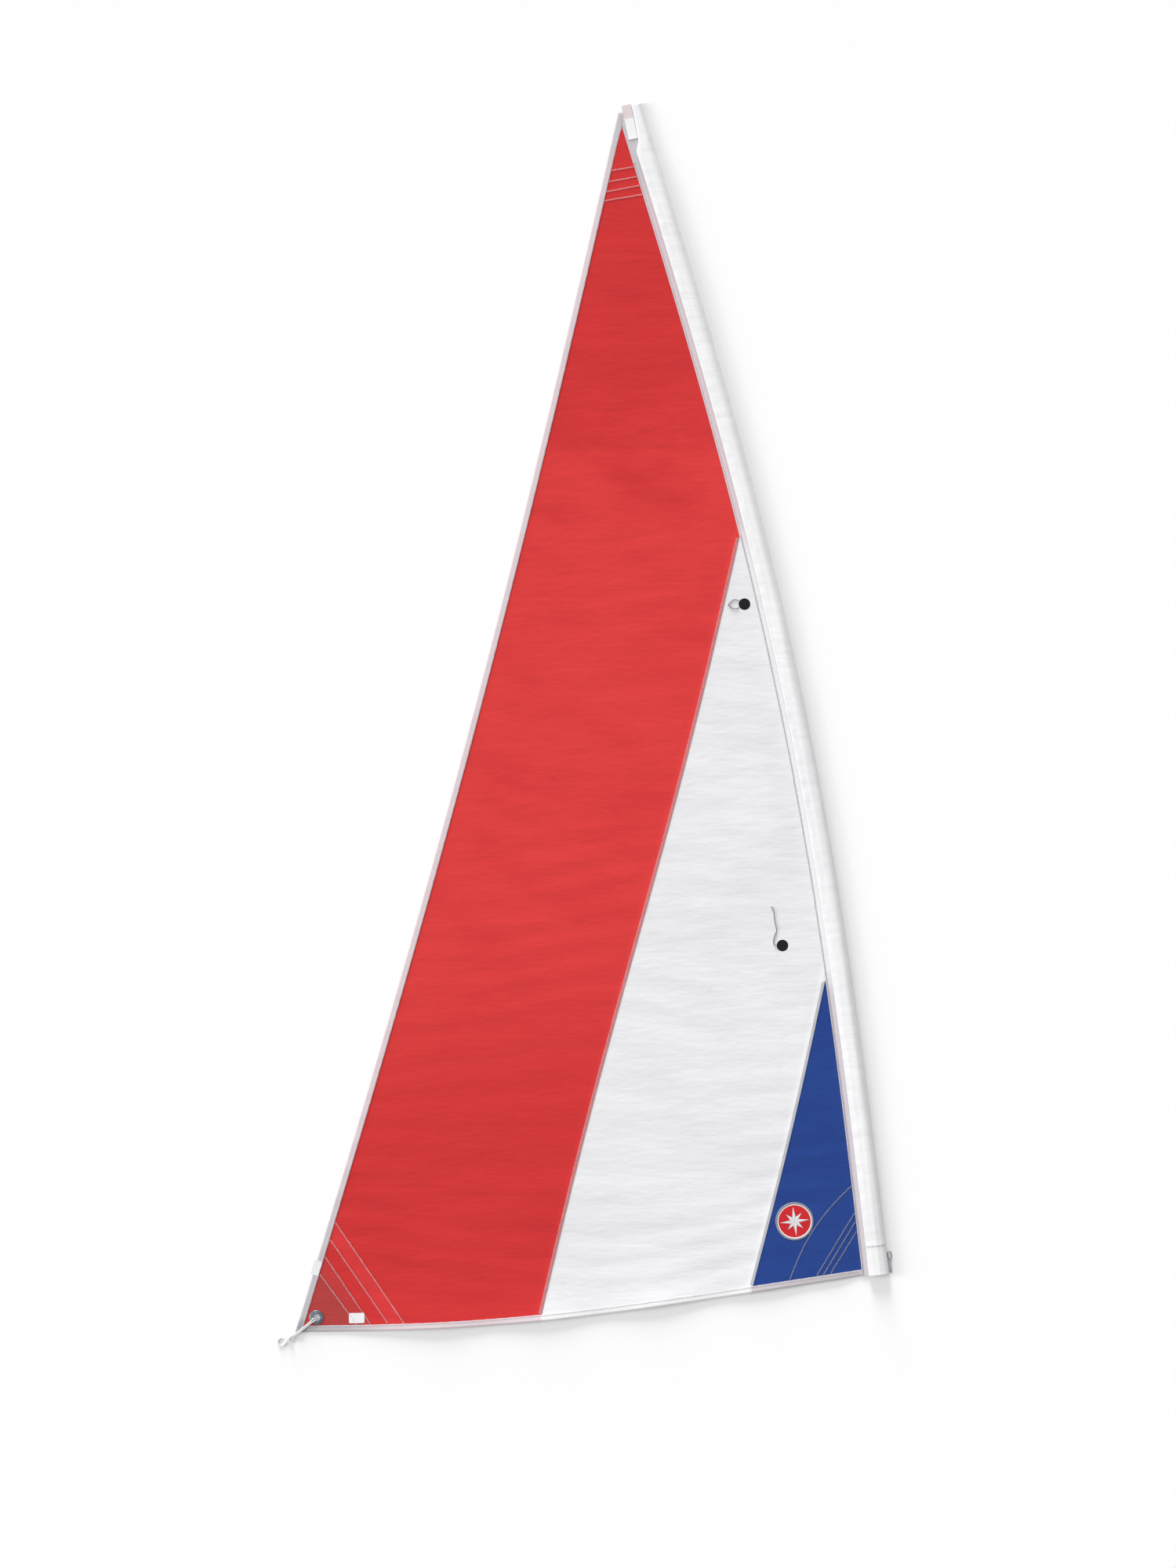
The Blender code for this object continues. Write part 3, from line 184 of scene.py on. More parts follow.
@dataclass
class SailPlan:
    """Outline of the sail, the levels of its layers and the ripples of its cloth."""

    luff_length: float = 4.469
    luff_bow: float = 0.130
    leech_length: float = 4.713
    leech_hollow: float = 0.050
    foot_length: float = 2.153
    foot_round: float = 0.048
    foot_skew: float = 0.0065
    head_width: float = 0.0933
    head_drop: float = 0.0166
    foot_rise: float = 0.0103
    tube_foot_width: float = 0.077
    tube_upper_width: float = 0.072
    tube_taper_height: float = 2.2
    tube_head_width: float = 0.038
    tube_step_start: float = 0.176
    tube_step_run: float = 0.054
    tube_step_share: float = 0.62
    flange_width: float = 0.0235
    flange_seam: float = 0.002
    sleeve_head_width: float = 0.0715
    sleeve_narrowing_start: float = 0.08
    sleeve_narrowing_power: float = 2.0
    red_seam_height: float = 2.814
    red_seam_reach: float = 0.915
    red_seam_bows: tuple[float, ...] = (0.004, 0.011)
    blue_seam_height: float = 1.116
    blue_seam_reach: float = 1.710
    blue_seam_bows: tuple[float, ...] = (0.009,)
    lap_width: float = 0.012
    cloth: float = 0.0004
    fold_inset: float = 0.0014
    luff_setback: float = 0.030
    leech_setback: float = 0.012
    tape_width: float = 0.024
    panel_base: float = 0.0008
    patch_pitch: float = 0.0007
    patch_margin: float = 0.008
    flap_ramp: float = 0.030
    seam_search: float = 0.15
    clew_patches: tuple[Pair, ...] = (
        (0.460, 0.426), (0.393, 0.3665), (0.327, 0.3005), (0.257, 0.2507))
    head_patches: tuple[Pair, ...] = (
        (0.345, 0.332), (0.311, 0.296), (0.272, 0.262), (0.229, 0.224))
    tack_patches: tuple[Pair, ...] = (
        (0.362, 0.311), (0.274, 0.2165), (0.242, 0.191), (0.205, 0.1646))
    eye_from_leech: float = 0.0611
    eye_from_foot: float = 0.0538
    upper_disc: Pair = (2.5614, 0.1373)
    lower_disc: Pair = (1.2675, 0.2378)
    yarn_sweeps: Pair = (0.075, 0.185)
    ripple_height: float = 0.0010
    ripple_pitch: float = 0.118
    ripple_drift: float = 1.6
    head_ripple_share: float = 0.45
    swell_height: float = 0.0022
    foot_curl: float = 0.0125
    foot_curl_reach: float = 0.07
    foot_wave_pitch: float = 0.42
    luff: Edge = field(init=False)
    leech: Edge = field(init=False)
    foot: Edge = field(init=False)
    red_seam: Edge = field(init=False)
    blue_seam: Edge = field(init=False)
    eye: complex = field(init=False)

    def __post_init__(self) -> None:
        """Work out the edges, the seams and the clew's eye."""
        tack_end = complex(-self.tube_foot_width, self.foot_rise)
        head_end = complex(-self.head_width, self.luff_length - self.head_drop)
        clew = corner_from(tack_end, self.foot_length, head_end, self.leech_length)
        self.luff = Edge(0j, self.luff_length * 1j, (-self.luff_bow,))
        self.leech = Edge(head_end, clew, (self.leech_hollow,))
        self.foot = Edge(clew, tack_end, (-self.foot_round, -self.foot_skew))
        self.red_seam = self.seam(self.red_seam_height, self.red_seam_reach, self.red_seam_bows)
        self.blue_seam = self.seam(self.blue_seam_height, self.blue_seam_reach, self.blue_seam_bows)
        run = crossing(lambda run: self.leech.locate(self.foot.point(run, self.eye_from_foot))[1]
                       - self.eye_from_leech, 0.0, 3 * self.eye_from_leech)
        self.eye = self.foot.point(run, self.eye_from_foot)

    def seam(self, height: float, reach: float, bows: tuple[float, ...]) -> Edge:
        """Seam from a height on the flange's edge to a reach along the foot."""
        return Edge(self.luff.point(height, self.sleeve_width(height)), self.foot.point(reach), bows)

    def plain_tube_width(self, height: float) -> float:
        """Width of the sleeve's tube before it narrows at the head."""
        return mix(self.tube_foot_width, self.tube_upper_width, min(1.0, height / self.tube_taper_height))

    def tube_width(self, height: float) -> float:
        """Width of the sleeve's tube."""
        below = self.luff_length - height
        step = ease((self.tube_step_start - below) / self.tube_step_run)
        step_end = self.tube_step_start - self.tube_step_run
        share = mix(clamp(1 - below / step_end), step, self.tube_step_share)
        return self.plain_tube_width(height) - (self.tube_upper_width - self.tube_head_width) * share

    def sleeve_width(self, height: float) -> float:
        """Width of the sleeve with its flange."""
        share = max(0.0, 1 + (height - self.luff_length) / self.sleeve_narrowing_start)
        loss = self.tube_upper_width + self.flange_width - self.sleeve_head_width
        loss *= share ** self.sleeve_narrowing_power
        return self.plain_tube_width(height) + self.flange_width - loss

    @property
    def panel_top(self) -> float:
        """Upper face of the panels."""
        return self.panel_base + self.cloth

    @property
    def lap_top(self) -> float:
        """Upper face of a panel where it laps its neighbour."""
        return self.panel_top + GAP + self.cloth

    @property
    def patches_top(self) -> float:
        """Upper face of the topmost corner patch."""
        return self.panel_top + len(self.clew_patches) * self.patch_pitch

    def patches(self, corner: Corner) -> tuple[Pair, ...]:
        """How far a corner's patches reach along both of its edges, largest first."""
        return {Corner.CLEW: self.clew_patches, Corner.HEAD: self.head_patches,
                Corner.TACK: self.tack_patches}[corner]

    def flap_base(self, patches: int) -> float:
        """Underside of an upper flap that lies over so many patches."""
        return max(self.lap_top, self.panel_top + patches * self.patch_pitch) + GAP

    def flap_height(self, run: float, near: Sequence[float], far: Sequence[float], span: float) -> float:
        """Underside of an upper flap, raised over the patches at both ends of its edge.

        Args:
            run: Distance along the edge.
            near: How far the patches at the edge's start reach, largest first.
            far: The same at the edge's end.
            span: Length of the edge.

        Returns:
            The level of the flap's underside.
        """
        height = self.flap_base(0)
        for index in range(len(near)):
            step = self.flap_base(index + 1) - self.flap_base(index)
            for reach, distance in ((near[index], run), (far[index], span - run)):
                beyond = reach + self.patch_margin + self.flap_ramp - distance
                height += step * clamp(beyond / self.flap_ramp)
        return height

    def luff_flap(self, height: float) -> float:
        """Underside of the sleeve's upper flange."""
        return self.flap_height(height, [reach for reach, _ in self.tack_patches],
                                [reach for _, reach in self.head_patches], self.luff_length)

    def leech_flap(self, run: float) -> float:
        """Underside of the leech tape's upper flap."""
        return self.flap_height(run, [reach for reach, _ in self.head_patches],
                                [reach for reach, _ in self.clew_patches], self.leech.span)

    def foot_flap(self, run: float) -> float:
        """Underside of the foot tape's upper flap."""
        return self.flap_height(run, [reach for _, reach in self.clew_patches],
                                [reach for _, reach in self.tack_patches], self.foot.span)

    def luff_side(self, first: float, last: float, count: int) -> list[complex]:
        """Places on the cloth's edge under the flange, between two heights."""
        heights = [mix(first, last, step / count) for step in range(count + 1)]
        return [self.luff.point(height, self.tube_width(height) + self.flange_seam) for height in heights]

    def luff_margin(self, place: complex) -> float:
        """How far a place lies inside the cloth's edge under the flange."""
        height, inset = self.luff.locate(place)
        return inset - self.tube_width(height) - self.flange_seam

    def clew_run(self) -> float:
        """Run along the foot of the cloth's corner inside the tapes at the clew."""
        return crossing(lambda run: self.leech.locate(self.foot.point(run, self.fold_inset))[1]
                        - self.fold_inset, 0.0, self.tape_width)

    def tack_run(self) -> float:
        """Run along the foot of the cloth's corner under the flange at the tack."""
        return crossing(lambda run: self.luff_margin(self.foot.point(run, self.fold_inset)),
                        self.foot.span - self.tube_foot_width, self.foot.span + self.tube_foot_width)

    def seam_row(self, seam: Edge, inset: float, count: int) -> list[complex]:
        """Places along a seam, or beside it, from inside the foot tape to under the flange.

        Args:
            seam: The seam.
            inset: Distance to the left of the seam.
            count: Number of steps.

        Returns:
            The places, from the foot up.
        """
        reach = self.seam_search
        top = crossing(lambda run: self.luff_margin(seam.point(run, inset)), -reach, reach)
        bottom = crossing(lambda run: self.foot.locate(seam.point(run, inset))[1] - self.fold_inset,
                          seam.span - reach, seam.span + reach)
        return seam.stretch(bottom, top, count, inset)

    def freedom(self, place: complex) -> float:
        """How freely the cloth ripples: not at the sleeve, eye and head, and little at the tell-tales."""
        height, inset = self.luff.near(place)
        margin = inset - self.sleeve_width(min(self.luff_length, max(0.0, height)))
        share = ease((margin - 0.004) / 0.11) * ease((abs(place - self.eye) - 0.095) / 0.22)
        share *= ease((self.luff_length - 0.10 - height) / 0.30)
        for disc, sweep in zip((self.upper_disc, self.lower_disc), self.yarn_sweeps):
            share *= mix(0.10, 1.0, ease((abs(place - self.luff.point(*disc)) - sweep) / 0.14))
        return share

    def ripples(self, place: complex) -> float:
        """Height of the creases and the swells that run across the picture."""
        seen = place * PICTURE_UP.conjugate()
        up, across = seen.real, -seen.imag
        drift = noise.noise(Vector((across * 1.3, up * 1.1, 0.0)))
        crease = 0.5 + 0.5 * sin(tau * (up / self.ripple_pitch + self.ripple_drift * drift))
        patchiness = 0.5 + 0.5 * noise.noise(Vector((across * 2.1 + 7.0, up * 3.4, 2.0)))
        low_share = mix(self.head_ripple_share, 1.0, ease((2.9 - place.imag) / 1.8))
        swell = 0.5 + 0.5 * noise.noise(Vector((across * 2.7, up * 1.9, 5.0)))
        return self.ripple_height * low_share * crease * (0.35 + patchiness) + self.swell_height * swell

    def lift(self, place: complex) -> float:
        """Height by which the ripples and the curled foot raise the cloth at a place."""
        freedom = self.freedom(place)
        if freedom <= 0:
            return 0.0
        run, inset = self.foot.near(place)
        middle = sin(pi * clamp(run / self.foot.span)) ** 0.45
        wave = 0.75 + 0.25 * sin(tau * run / self.foot_wave_pitch)
        curl = self.foot_curl * middle * wave * exp(-max(0.0, inset) / self.foot_curl_reach)
        return freedom * (self.ripples(place) + curl)

    def raised(self, places: Sequence[complex], level: float) -> list[Point]:
        """Points over places, at a level above the flat cloth and lifted with it."""
        return [at(place, level + self.lift(place)) for place in places]


def tint(red: int, green: int, blue: int) -> Color:
    """Linear colour of a screen colour with channels from 0 to 255."""
    channels = [channel / 255 for channel in (red, green, blue)]
    linear = [c / 12.92 if c <= 0.04045 else ((c + 0.055) / 1.055) ** 2.4 for c in channels]
    return linear[0], linear[1], linear[2], 1.0


class Wire:
    """Output socket of a shader node that takes part in Python expressions."""

    def __init__(self, recipe: Recipe, socket: bpy.types.NodeSocket) -> None:
        """Keep the socket and the recipe that it belongs to."""
        self.recipe = recipe
        self.socket = socket

    def math(self, operation: str, *others: Wire | float) -> Wire:
        """Result of a Math node on this value and others."""
        values = dict(enumerate((self, *others)))
        return self.recipe.add("ShaderNodeMath", {"operation": operation}, values)

    def __add__(self, other: Wire | float) -> Wire:
        """This value plus another."""
        return self.math("ADD", other)

    __radd__ = __add__

    def __mul__(self, other: Wire | float) -> Wire:
        """This value times another."""
        return self.math("MULTIPLY", other)

    __rmul__ = __mul__

    def __sub__(self, other: Wire | float) -> Wire:
        """This value less another."""
        return self.math("SUBTRACT", other)

    def __rsub__(self, other: float) -> Wire:
        """A number less this value."""
        return self.recipe.add("ShaderNodeMath", {"operation": "SUBTRACT"}, {0: other, 1: self})

    def __truediv__(self, other: Wire | float) -> Wire:
        """This value over another."""
        return self.math("DIVIDE", other)

    def __rtruediv__(self, other: float) -> Wire:
        """A number over this value."""
        return self.recipe.add("ShaderNodeMath", {"operation": "DIVIDE"}, {0: other, 1: self})

    def __pow__(self, exponent: float) -> Wire:
        """This value to a power."""
        return self.math("POWER", exponent)

    def clamped(self) -> Wire:
        """This value held between 0 and 1."""
        return self.recipe.add("ShaderNodeClamp", {}, {0: self})

    def stepped(self, low: float, high: float) -> Wire:
        """Smooth step from 0 at one value to 1 at another."""
        return self.recipe.add("ShaderNodeMapRange", {"interpolation_type": "SMOOTHSTEP"},
                               {"Value": self, "From Min": low, "From Max": high})


class Recipe:
    """Node tree of one material, and the nodes that its finish is made with."""

    def __init__(self, name: str) -> None:
        """Start a material whose shader is one Principled BSDF."""
        self.material = bpy.data.materials.new(name)
        self.material.use_nodes = True
        self.tree = self.material.node_tree
        self.shader = self.tree.nodes["Principled BSDF"]

    def add(self, kind: str, settings: Mapping[str, object], values: Mapping[str | int, object],
            output: str | int = 0) -> Wire:
        """Add a node.

        Args:
            kind: Type of the node.
            settings: Its settings, set first. The stops of a ramp are places and colours.
            values: Values or wires of its sockets.
            output: The socket that is passed on.

        Returns:
            The wire from that socket.
        """
        node = self.tree.nodes.new(kind)
        for name, value in settings.items():
            if name == "stops":
                elements = node.color_ramp.elements
                while len(elements) < len(value):
                    elements.new(1.0)
                for element, (place, color) in zip(elements, value):
                    element.position = place
                    element.color = color
            else:
                setattr(node, name, value)
        for name, value in values.items():
            self.feed(node.inputs[name], value)
        return Wire(self, node.outputs[output])

    def feed(self, socket: bpy.types.NodeSocket, value: object) -> None:
        """Link a wire to a socket or set the socket's value."""
        if isinstance(value, Wire):
            self.tree.links.new(value.socket, socket)
        else:
            socket.default_value = value

    def place(self) -> Wire:
        """Place on the object, in metres."""
        return self.add("ShaderNodeTexCoord", {}, {}, "Object")

    def axes(self, vector: Wire) -> tuple[Wire, Wire, Wire]:
        """The three parts of a vector."""
        first = self.add("ShaderNodeSeparateXYZ", {}, {0: vector})
        outputs = first.socket.node.outputs
        return first, Wire(self, outputs[1]), Wire(self, outputs[2])

    def turned(self, vector: Wire, degrees: float, stretch: Point = (1.0, 1.0, 1.0)) -> Wire:
        """Vector turned about the vertical and stretched."""
        return self.add("ShaderNodeMapping", {}, {
            "Vector": vector, "Rotation": (0.0, 0.0, radians(degrees)), "Scale": stretch})

    def clouds(self, vector: Wire, scale: float, detail: float = 3.0, roughness: float = 0.55) -> Wire:
        """Cloudy noise from 0 to 1."""
        return self.add("ShaderNodeTexNoise", {}, {
            "Vector": vector, "Scale": scale, "Detail": detail, "Roughness": roughness})

    def weave(self, vector: Wire, pitch: float) -> Wire:
        """Heights of a plain weave whose threads lie a pitch apart."""
        across, along, _ = self.axes(vector)
        turns = tau / pitch
        warp = (across * turns).math("SINE")
        weft = (along * turns).math("SINE")
        over = (across * (turns / 2)).math("SINE") * (along * (turns / 2)).math("SINE")
        return (warp * 0.5 + 0.5) * (weft * 0.5 + 0.5) * 0.7 + over * 0.3

    def blend(self, share: Wire | float, first: object, second: object) -> Wire:
        """Colour at a share of the way from one colour to another."""
        return self.add("ShaderNodeMix", {"data_type": "RGBA"}, {0: share, 6: first, 7: second}, 2)

    def bumps(self, height: Wire, depth: float, strength: float) -> Wire:
        """Normal of a surface with raised and sunken places."""
        return self.add("ShaderNodeBump", {}, {"Height": height, "Distance": depth, "Strength": strength})


class MaterialFinish:
    """What the finishes of all materials share."""

    def sockets(self, recipe: Recipe) -> Sockets:
        """Mix the finish.

        Args:
            recipe: Node tree of the material.

        Returns:
            Values and wires of the shader's sockets.
        """
        raise NotImplementedError

    def make(self, name: str) -> bpy.types.Material:
        """Make the material under a name."""
        recipe = Recipe(name)
        for socket, value in self.sockets(recipe).items():
            recipe.feed(recipe.shader.inputs[socket], value)
        return recipe.material


@dataclass(frozen=True)
class SailclothFinish(MaterialFinish):
    """Woven polyester cloth with a satin face, its tone cloudy and faintly soiled."""

    color: Color
    shade: Color
    soil: Color
    weave_turn: float = 27.0
    cloudiness: float = 0.55
    weave_pitch: float = 0.0009
    roughness: float = 0.55
    bump_depth: float = 0.00008
    crinkle: float = 60.0
    crinkle_turn: float = 12.0
    # painted light: colour of a lighter band painted through the middle of the sail's length
    painted_light: Color | None = None

    def sockets(self, recipe: Recipe) -> Sockets:
        """Mix the cloth's tone, its stains, its weave, its crinkles and, where given, a painted band of
        light.
        """
        place = recipe.turned(recipe.place(), self.weave_turn)
        weave = recipe.weave(place, self.weave_pitch)
        clouds = recipe.clouds(recipe.turned(place, 0.0, (1.0, 2.2, 1.0)), 2.4, 4.0)
        mottling = recipe.clouds(place, 38.0, 2.0, 0.6)
        slubs = recipe.clouds(recipe.turned(place, 0.0, (0.05, 1.0, 1.0)), 420.0, 1.0)
        tone = clouds.stepped(0.34, 0.70) * self.cloudiness + mottling * 0.20 + slubs * 0.10
        cloth = recipe.blend(tone.clamped(), self.color, self.shade)
        # painted light: the cloth turns lighter in a band through the middle of the sail's length, less so
        # where its cloudy tone is darker
        if self.painted_light:
            along = recipe.axes(recipe.place())[1] + (clouds - 0.5) * 1.2
            middle = along.stepped(-1.5, -0.7) * (1 - along.stepped(0.6, 1.3))
            cloth = recipe.blend(middle * (1 - 0.6 * tone.clamped()), cloth, self.painted_light)
        stain = recipe.clouds(place, 5.5, 5.0, 0.7).stepped(0.60, 0.80) * 0.42
        cloth = recipe.blend(stain, cloth, self.soil)
        rough = self.roughness + 0.10 * mottling - 0.05 * weave
        lying = recipe.turned(recipe.turned(recipe.place(), self.crinkle_turn), 0.0, (0.30, 1.0, 1.0))
        crinkles = recipe.clouds(lying, 17.0, 3.0, 0.6) * self.crinkle
        return {
            "Base Color": cloth, "Roughness": rough,
            "Normal": recipe.bumps(weave + slubs * 0.6 + crinkles, self.bump_depth, 0.5),
            "Sheen Weight": 0.02, "Specular IOR Level": 0.12}


@dataclass(frozen=True)
class TapeFinish(MaterialFinish):
    """Thin woven edge tape, whose tone follows the cloth that shows through it along the edge."""

    stops: tuple[tuple[float, Color], ...]
    fleck: Color
    axis: int
    low: float
    high: float
    turn: float = 27.0
    rib_pitch: float = 0.0024
    bump_depth: float = 0.00018

    def sockets(self, recipe: Recipe) -> Sockets:
        """Mix the tape's tone along its edge, its flecks and its weave."""
        place = recipe.place()
        share = (recipe.axes(place)[self.axis] - self.low) / (self.high - self.low)
        base = recipe.add("ShaderNodeValToRGB", {"stops": self.stops}, {0: share})
        turned = recipe.turned(place, self.turn)
        weave = recipe.weave(turned, self.rib_pitch)
        specks = recipe.clouds(turned, 260.0, 2.0, 0.7)
        patches = recipe.clouds(turned, 9.0, 4.0)
        amount = specks.stepped(0.50, 0.66) * 0.30 + patches.stepped(0.4, 0.8) * 0.15
        cloth = recipe.blend(amount.clamped(), base, self.fleck)
        return {
            "Base Color": cloth, "Roughness": 0.72 + 0.12 * specks,
            "Normal": recipe.bumps(weave + specks * 0.5, self.bump_depth, 0.6), "Specular IOR Level": 0.2}


@dataclass(frozen=True)
class FibreFinish(MaterialFinish):
    """Thread, cord, yarn, webbing or felt-like cloth with fine fibres."""

    color: Color
    fleck: Color
    grain: float = 900.0
    weave_pitch: float = 0.0016
    roughness: float = 0.8
    bump_depth: float = 0.0001
    contrast: float = 0.6
    sheen: float = 0.15

    def sockets(self, recipe: Recipe) -> Sockets:
        """Mix the fibres, their wear and their weave."""
        place = recipe.place()
        fibres = recipe.clouds(place, self.grain, 2.0, 0.7)
        worn = recipe.clouds(place, 60.0, 3.0)
        weave = recipe.weave(recipe.turned(place, 12.0), self.weave_pitch)
        amount = (fibres.stepped(0.42, 0.68) * 0.7 + worn * 0.4 - 0.1) * self.contrast
        return {
            "Base Color": recipe.blend(amount.clamped(), self.color, self.fleck),
            "Roughness": self.roughness + 0.12 * worn,
            "Normal": recipe.bumps(weave + fibres, self.bump_depth, 0.7),
            "Sheen Weight": self.sheen, "Specular IOR Level": 0.25}


@dataclass(frozen=True)
class MetalFinish(MaterialFinish):
    """Pressed metal, dulled and scratched."""

    color: Color
    dull: Color
    roughness: float = 0.34
    bump_depth: float = 0.00004

    def sockets(self, recipe: Recipe) -> Sockets:
        """Mix the metal, its dull places and its scratches."""
        place = recipe.place()
        dullness = recipe.clouds(place, 90.0, 4.0, 0.65)
        scratches = recipe.clouds(recipe.turned(place, 31.0, (0.08, 1.0, 1.0)), 1500.0, 1.0)
        return {
            "Base Color": recipe.blend(dullness.stepped(0.35, 0.75), self.color, self.dull),
            "Metallic": 1.0 - 0.35 * dullness.stepped(0.55, 0.8),
            "Roughness": self.roughness + 0.20 * dullness + 0.08 * scratches,
            "Normal": recipe.bumps(scratches, self.bump_depth, 0.5)}


@dataclass(frozen=True)
class FloorFinish(MaterialFinish):
    """Plain pale studio floor that keeps the object's shadow."""

    color: Color = (0.985, 0.985, 0.985, 1.0)
    shade: Color = (0.975, 0.975, 0.975, 1.0)
    roughness: float = 0.95

    def sockets(self, recipe: Recipe) -> Sockets:
        """Mix the floor's even tone."""
        color = recipe.blend(recipe.clouds(recipe.place(), 3.0, 2.0) * 0.3, self.color, self.shade)
        return {"Base Color": color, "Roughness": self.roughness, "Specular IOR Level": 0.0}


class Finish(Enum):
    """Finishes of the sail, each with the name of its material."""

    RED_CLOTH = "red_cloth"
    WHITE_CLOTH = "white_cloth"
    BLUE_CLOTH = "blue_cloth"
    SLEEVE_CLOTH = "sleeve_cloth"
    CREASE = "sleeve_painted_crease_shade"
    CLEW_CLOTH = "clew_cloth"
    CLEW_EDGE_CLOTH = "clew_edge_cloth"
    CLEW_OUTER_CLOTH = "clew_outer_cloth"
    LEECH_TAPE = "leech_tape_weave"
    FOOT_TAPE = "foot_tape_weave"
    FLANGE = "flange_cloth"
    CAP = "cap_tape"
    WEBBING = "white_webbing"
    GREY_WEBBING = "grey_webbing"
    DISC = "black_disc"
    YARN = "grey_yarn"
    CORD = "white_cord"
    METAL = "eyelet_metal"
    LABEL = "white_label"
    WHITE_THREAD = "white_thread"
    PALE_THREAD = "pale_thread"
    GREY_THREAD = "grey_thread"
    BADGE_RED = "badge_red"
    BADGE_GREY = "badge_grey"
    BADGE_SHADE = "badge_shade"

    @property
    def slot(self) -> str:
        """Material slot of the record."""
        return next((slot for slot, finishes in SHARED_SLOTS.items() if self in finishes), self.value)


SHARED_SLOTS = {
    "white_cloth": (Finish.SLEEVE_CLOTH, Finish.CREASE, Finish.FLANGE),
    "red_cloth": (Finish.CLEW_CLOTH, Finish.CLEW_EDGE_CLOTH, Finish.CLEW_OUTER_CLOTH),
    "grey_tape": (Finish.LEECH_TAPE, Finish.FOOT_TAPE, Finish.CAP, Finish.GREY_WEBBING, Finish.GREY_THREAD),
    "white_webbing": (Finish.WHITE_THREAD, Finish.PALE_THREAD),
    "white_label": (Finish.BADGE_RED, Finish.BADGE_GREY, Finish.BADGE_SHADE)}


def cloth_finishes() -> dict[Finish, SailclothFinish]:
    """Finishes of the sailcloths."""
    red_soil, white_soil = tint(178, 52, 56), tint(214, 212, 208)
    return {
        Finish.RED_CLOTH: SailclothFinish(tint(211, 54, 55), tint(200, 49, 51), red_soil,
                                          painted_light=tint(222, 63, 63)),
        Finish.CLEW_CLOTH: SailclothFinish(tint(184, 68, 67), tint(174, 62, 62), red_soil),
        Finish.CLEW_EDGE_CLOTH: SailclothFinish(tint(200, 62, 62), tint(188, 58, 58), red_soil),
        Finish.CLEW_OUTER_CLOTH: SailclothFinish(tint(219, 61, 62), tint(207, 54, 56), red_soil),
        Finish.WHITE_CLOTH: SailclothFinish(tint(237, 237, 239), tint(228, 228, 231), white_soil),
        Finish.SLEEVE_CLOTH: SailclothFinish(tint(237, 237, 238), tint(230, 230, 232), white_soil,
                                             0.0, 0.45),
        # painted shade: darker grey sleeve cloth that paints the shade in the fold at the tube's root beside
        # the flange
        Finish.CREASE: SailclothFinish(tint(196, 195, 198), tint(186, 185, 189), white_soil, 0.0, 0.45),
        Finish.BLUE_CLOTH: SailclothFinish(tint(41, 70, 142), tint(36, 64, 134), tint(30, 52, 108))}


def fibre_finishes() -> dict[Finish, FibreFinish]:
    """Finishes of threads, cords, webbing and small cloths."""
    return {
        Finish.CAP: FibreFinish(tint(224, 212, 213), tint(212, 186, 189), 420.0),
        Finish.WEBBING: FibreFinish(tint(243, 243, 243), tint(222, 222, 224)),
        Finish.GREY_WEBBING: FibreFinish(tint(196, 190, 204), tint(172, 168, 184)),
        Finish.DISC: FibreFinish(tint(14, 14, 16), tint(48, 48, 52), 700.0, 0.0022, sheen=0.0),
        Finish.YARN: FibreFinish(tint(104, 108, 124), tint(150, 130, 138), 1600.0),
        Finish.CORD: FibreFinish(tint(236, 234, 232), tint(198, 200, 206), 700.0),
        Finish.LABEL: FibreFinish(tint(240, 240, 242), tint(224, 224, 227), 500.0, 0.0007),
        Finish.WHITE_THREAD: FibreFinish(tint(240, 236, 238), tint(222, 214, 218), 800.0),
        Finish.PALE_THREAD: FibreFinish(tint(247, 224, 224), tint(240, 208, 209), 800.0),
        Finish.GREY_THREAD: FibreFinish(tint(196, 197, 202), tint(172, 173, 180), 800.0),
        Finish.BADGE_RED: FibreFinish(tint(206, 34, 42), tint(184, 28, 36), 600.0, 0.0012),
        Finish.BADGE_GREY: FibreFinish(tint(146, 149, 158), tint(104, 107, 116), 900.0, 0.0008),
        Finish.BADGE_SHADE: FibreFinish(tint(206, 207, 212), tint(184, 186, 192), 600.0)}


def tape_finishes(plan: SailPlan) -> dict[Finish, TapeFinish]:
    """Finishes of the edge tapes and the flange, whose stops are shares of the way along each edge."""
    over_red, over_white, bare = tint(221, 206, 209), tint(239, 239, 240), tint(196, 192, 196)
    # The first stops of both tapes are a darker bluish grey over their clew ends.
    at_clew, over_blue, clew_corner_grey = tint(190, 186, 190), tint(208, 202, 208), tint(150, 153, 163)
    flange_step, foot_step = 0.012, 0.002
    blue_top = plan.blue_seam_height / plan.luff_length
    red_foot = plan.red_seam_height / plan.luff_length
    red_end = plan.red_seam_reach / plan.foot_length
    white_end = plan.blue_seam_reach / plan.foot_length
    return {
        Finish.LEECH_TAPE: TapeFinish((
            (0.0, clew_corner_grey), (0.007, clew_corner_grey), (0.011, at_clew), (0.07, bare), (0.15, over_red),
            (0.93, over_red), (0.985, bare)),
            tint(182, 168, 174), 1, at(plan.leech.end, 0.0)[1], at(plan.leech.start, 0.0)[1]),
        Finish.FLANGE: TapeFinish((
            (0.0, over_blue), (blue_top - flange_step, over_blue), (blue_top + flange_step, over_white),
            (red_foot - flange_step, over_white), (red_foot + flange_step, over_red),
            (0.925, over_red), (0.955, bare)),
            tint(208, 194, 200), 1, SAIL_ORIGIN.imag, SAIL_ORIGIN.imag + plan.luff_length, 5.0),
        Finish.FOOT_TAPE: TapeFinish((
            (0.0, clew_corner_grey), (0.016, clew_corner_grey), (0.024, at_clew), (0.09, bare), (0.16, over_red),
            (red_end - foot_step, over_red), (red_end + foot_step, over_white),
            (white_end - foot_step, over_white), (white_end + foot_step, bare), (1.0, bare)),
            tint(186, 178, 184), 0, at(plan.foot.start, 0.0)[0], at(plan.foot.end, 0.0)[0], -5.0)}


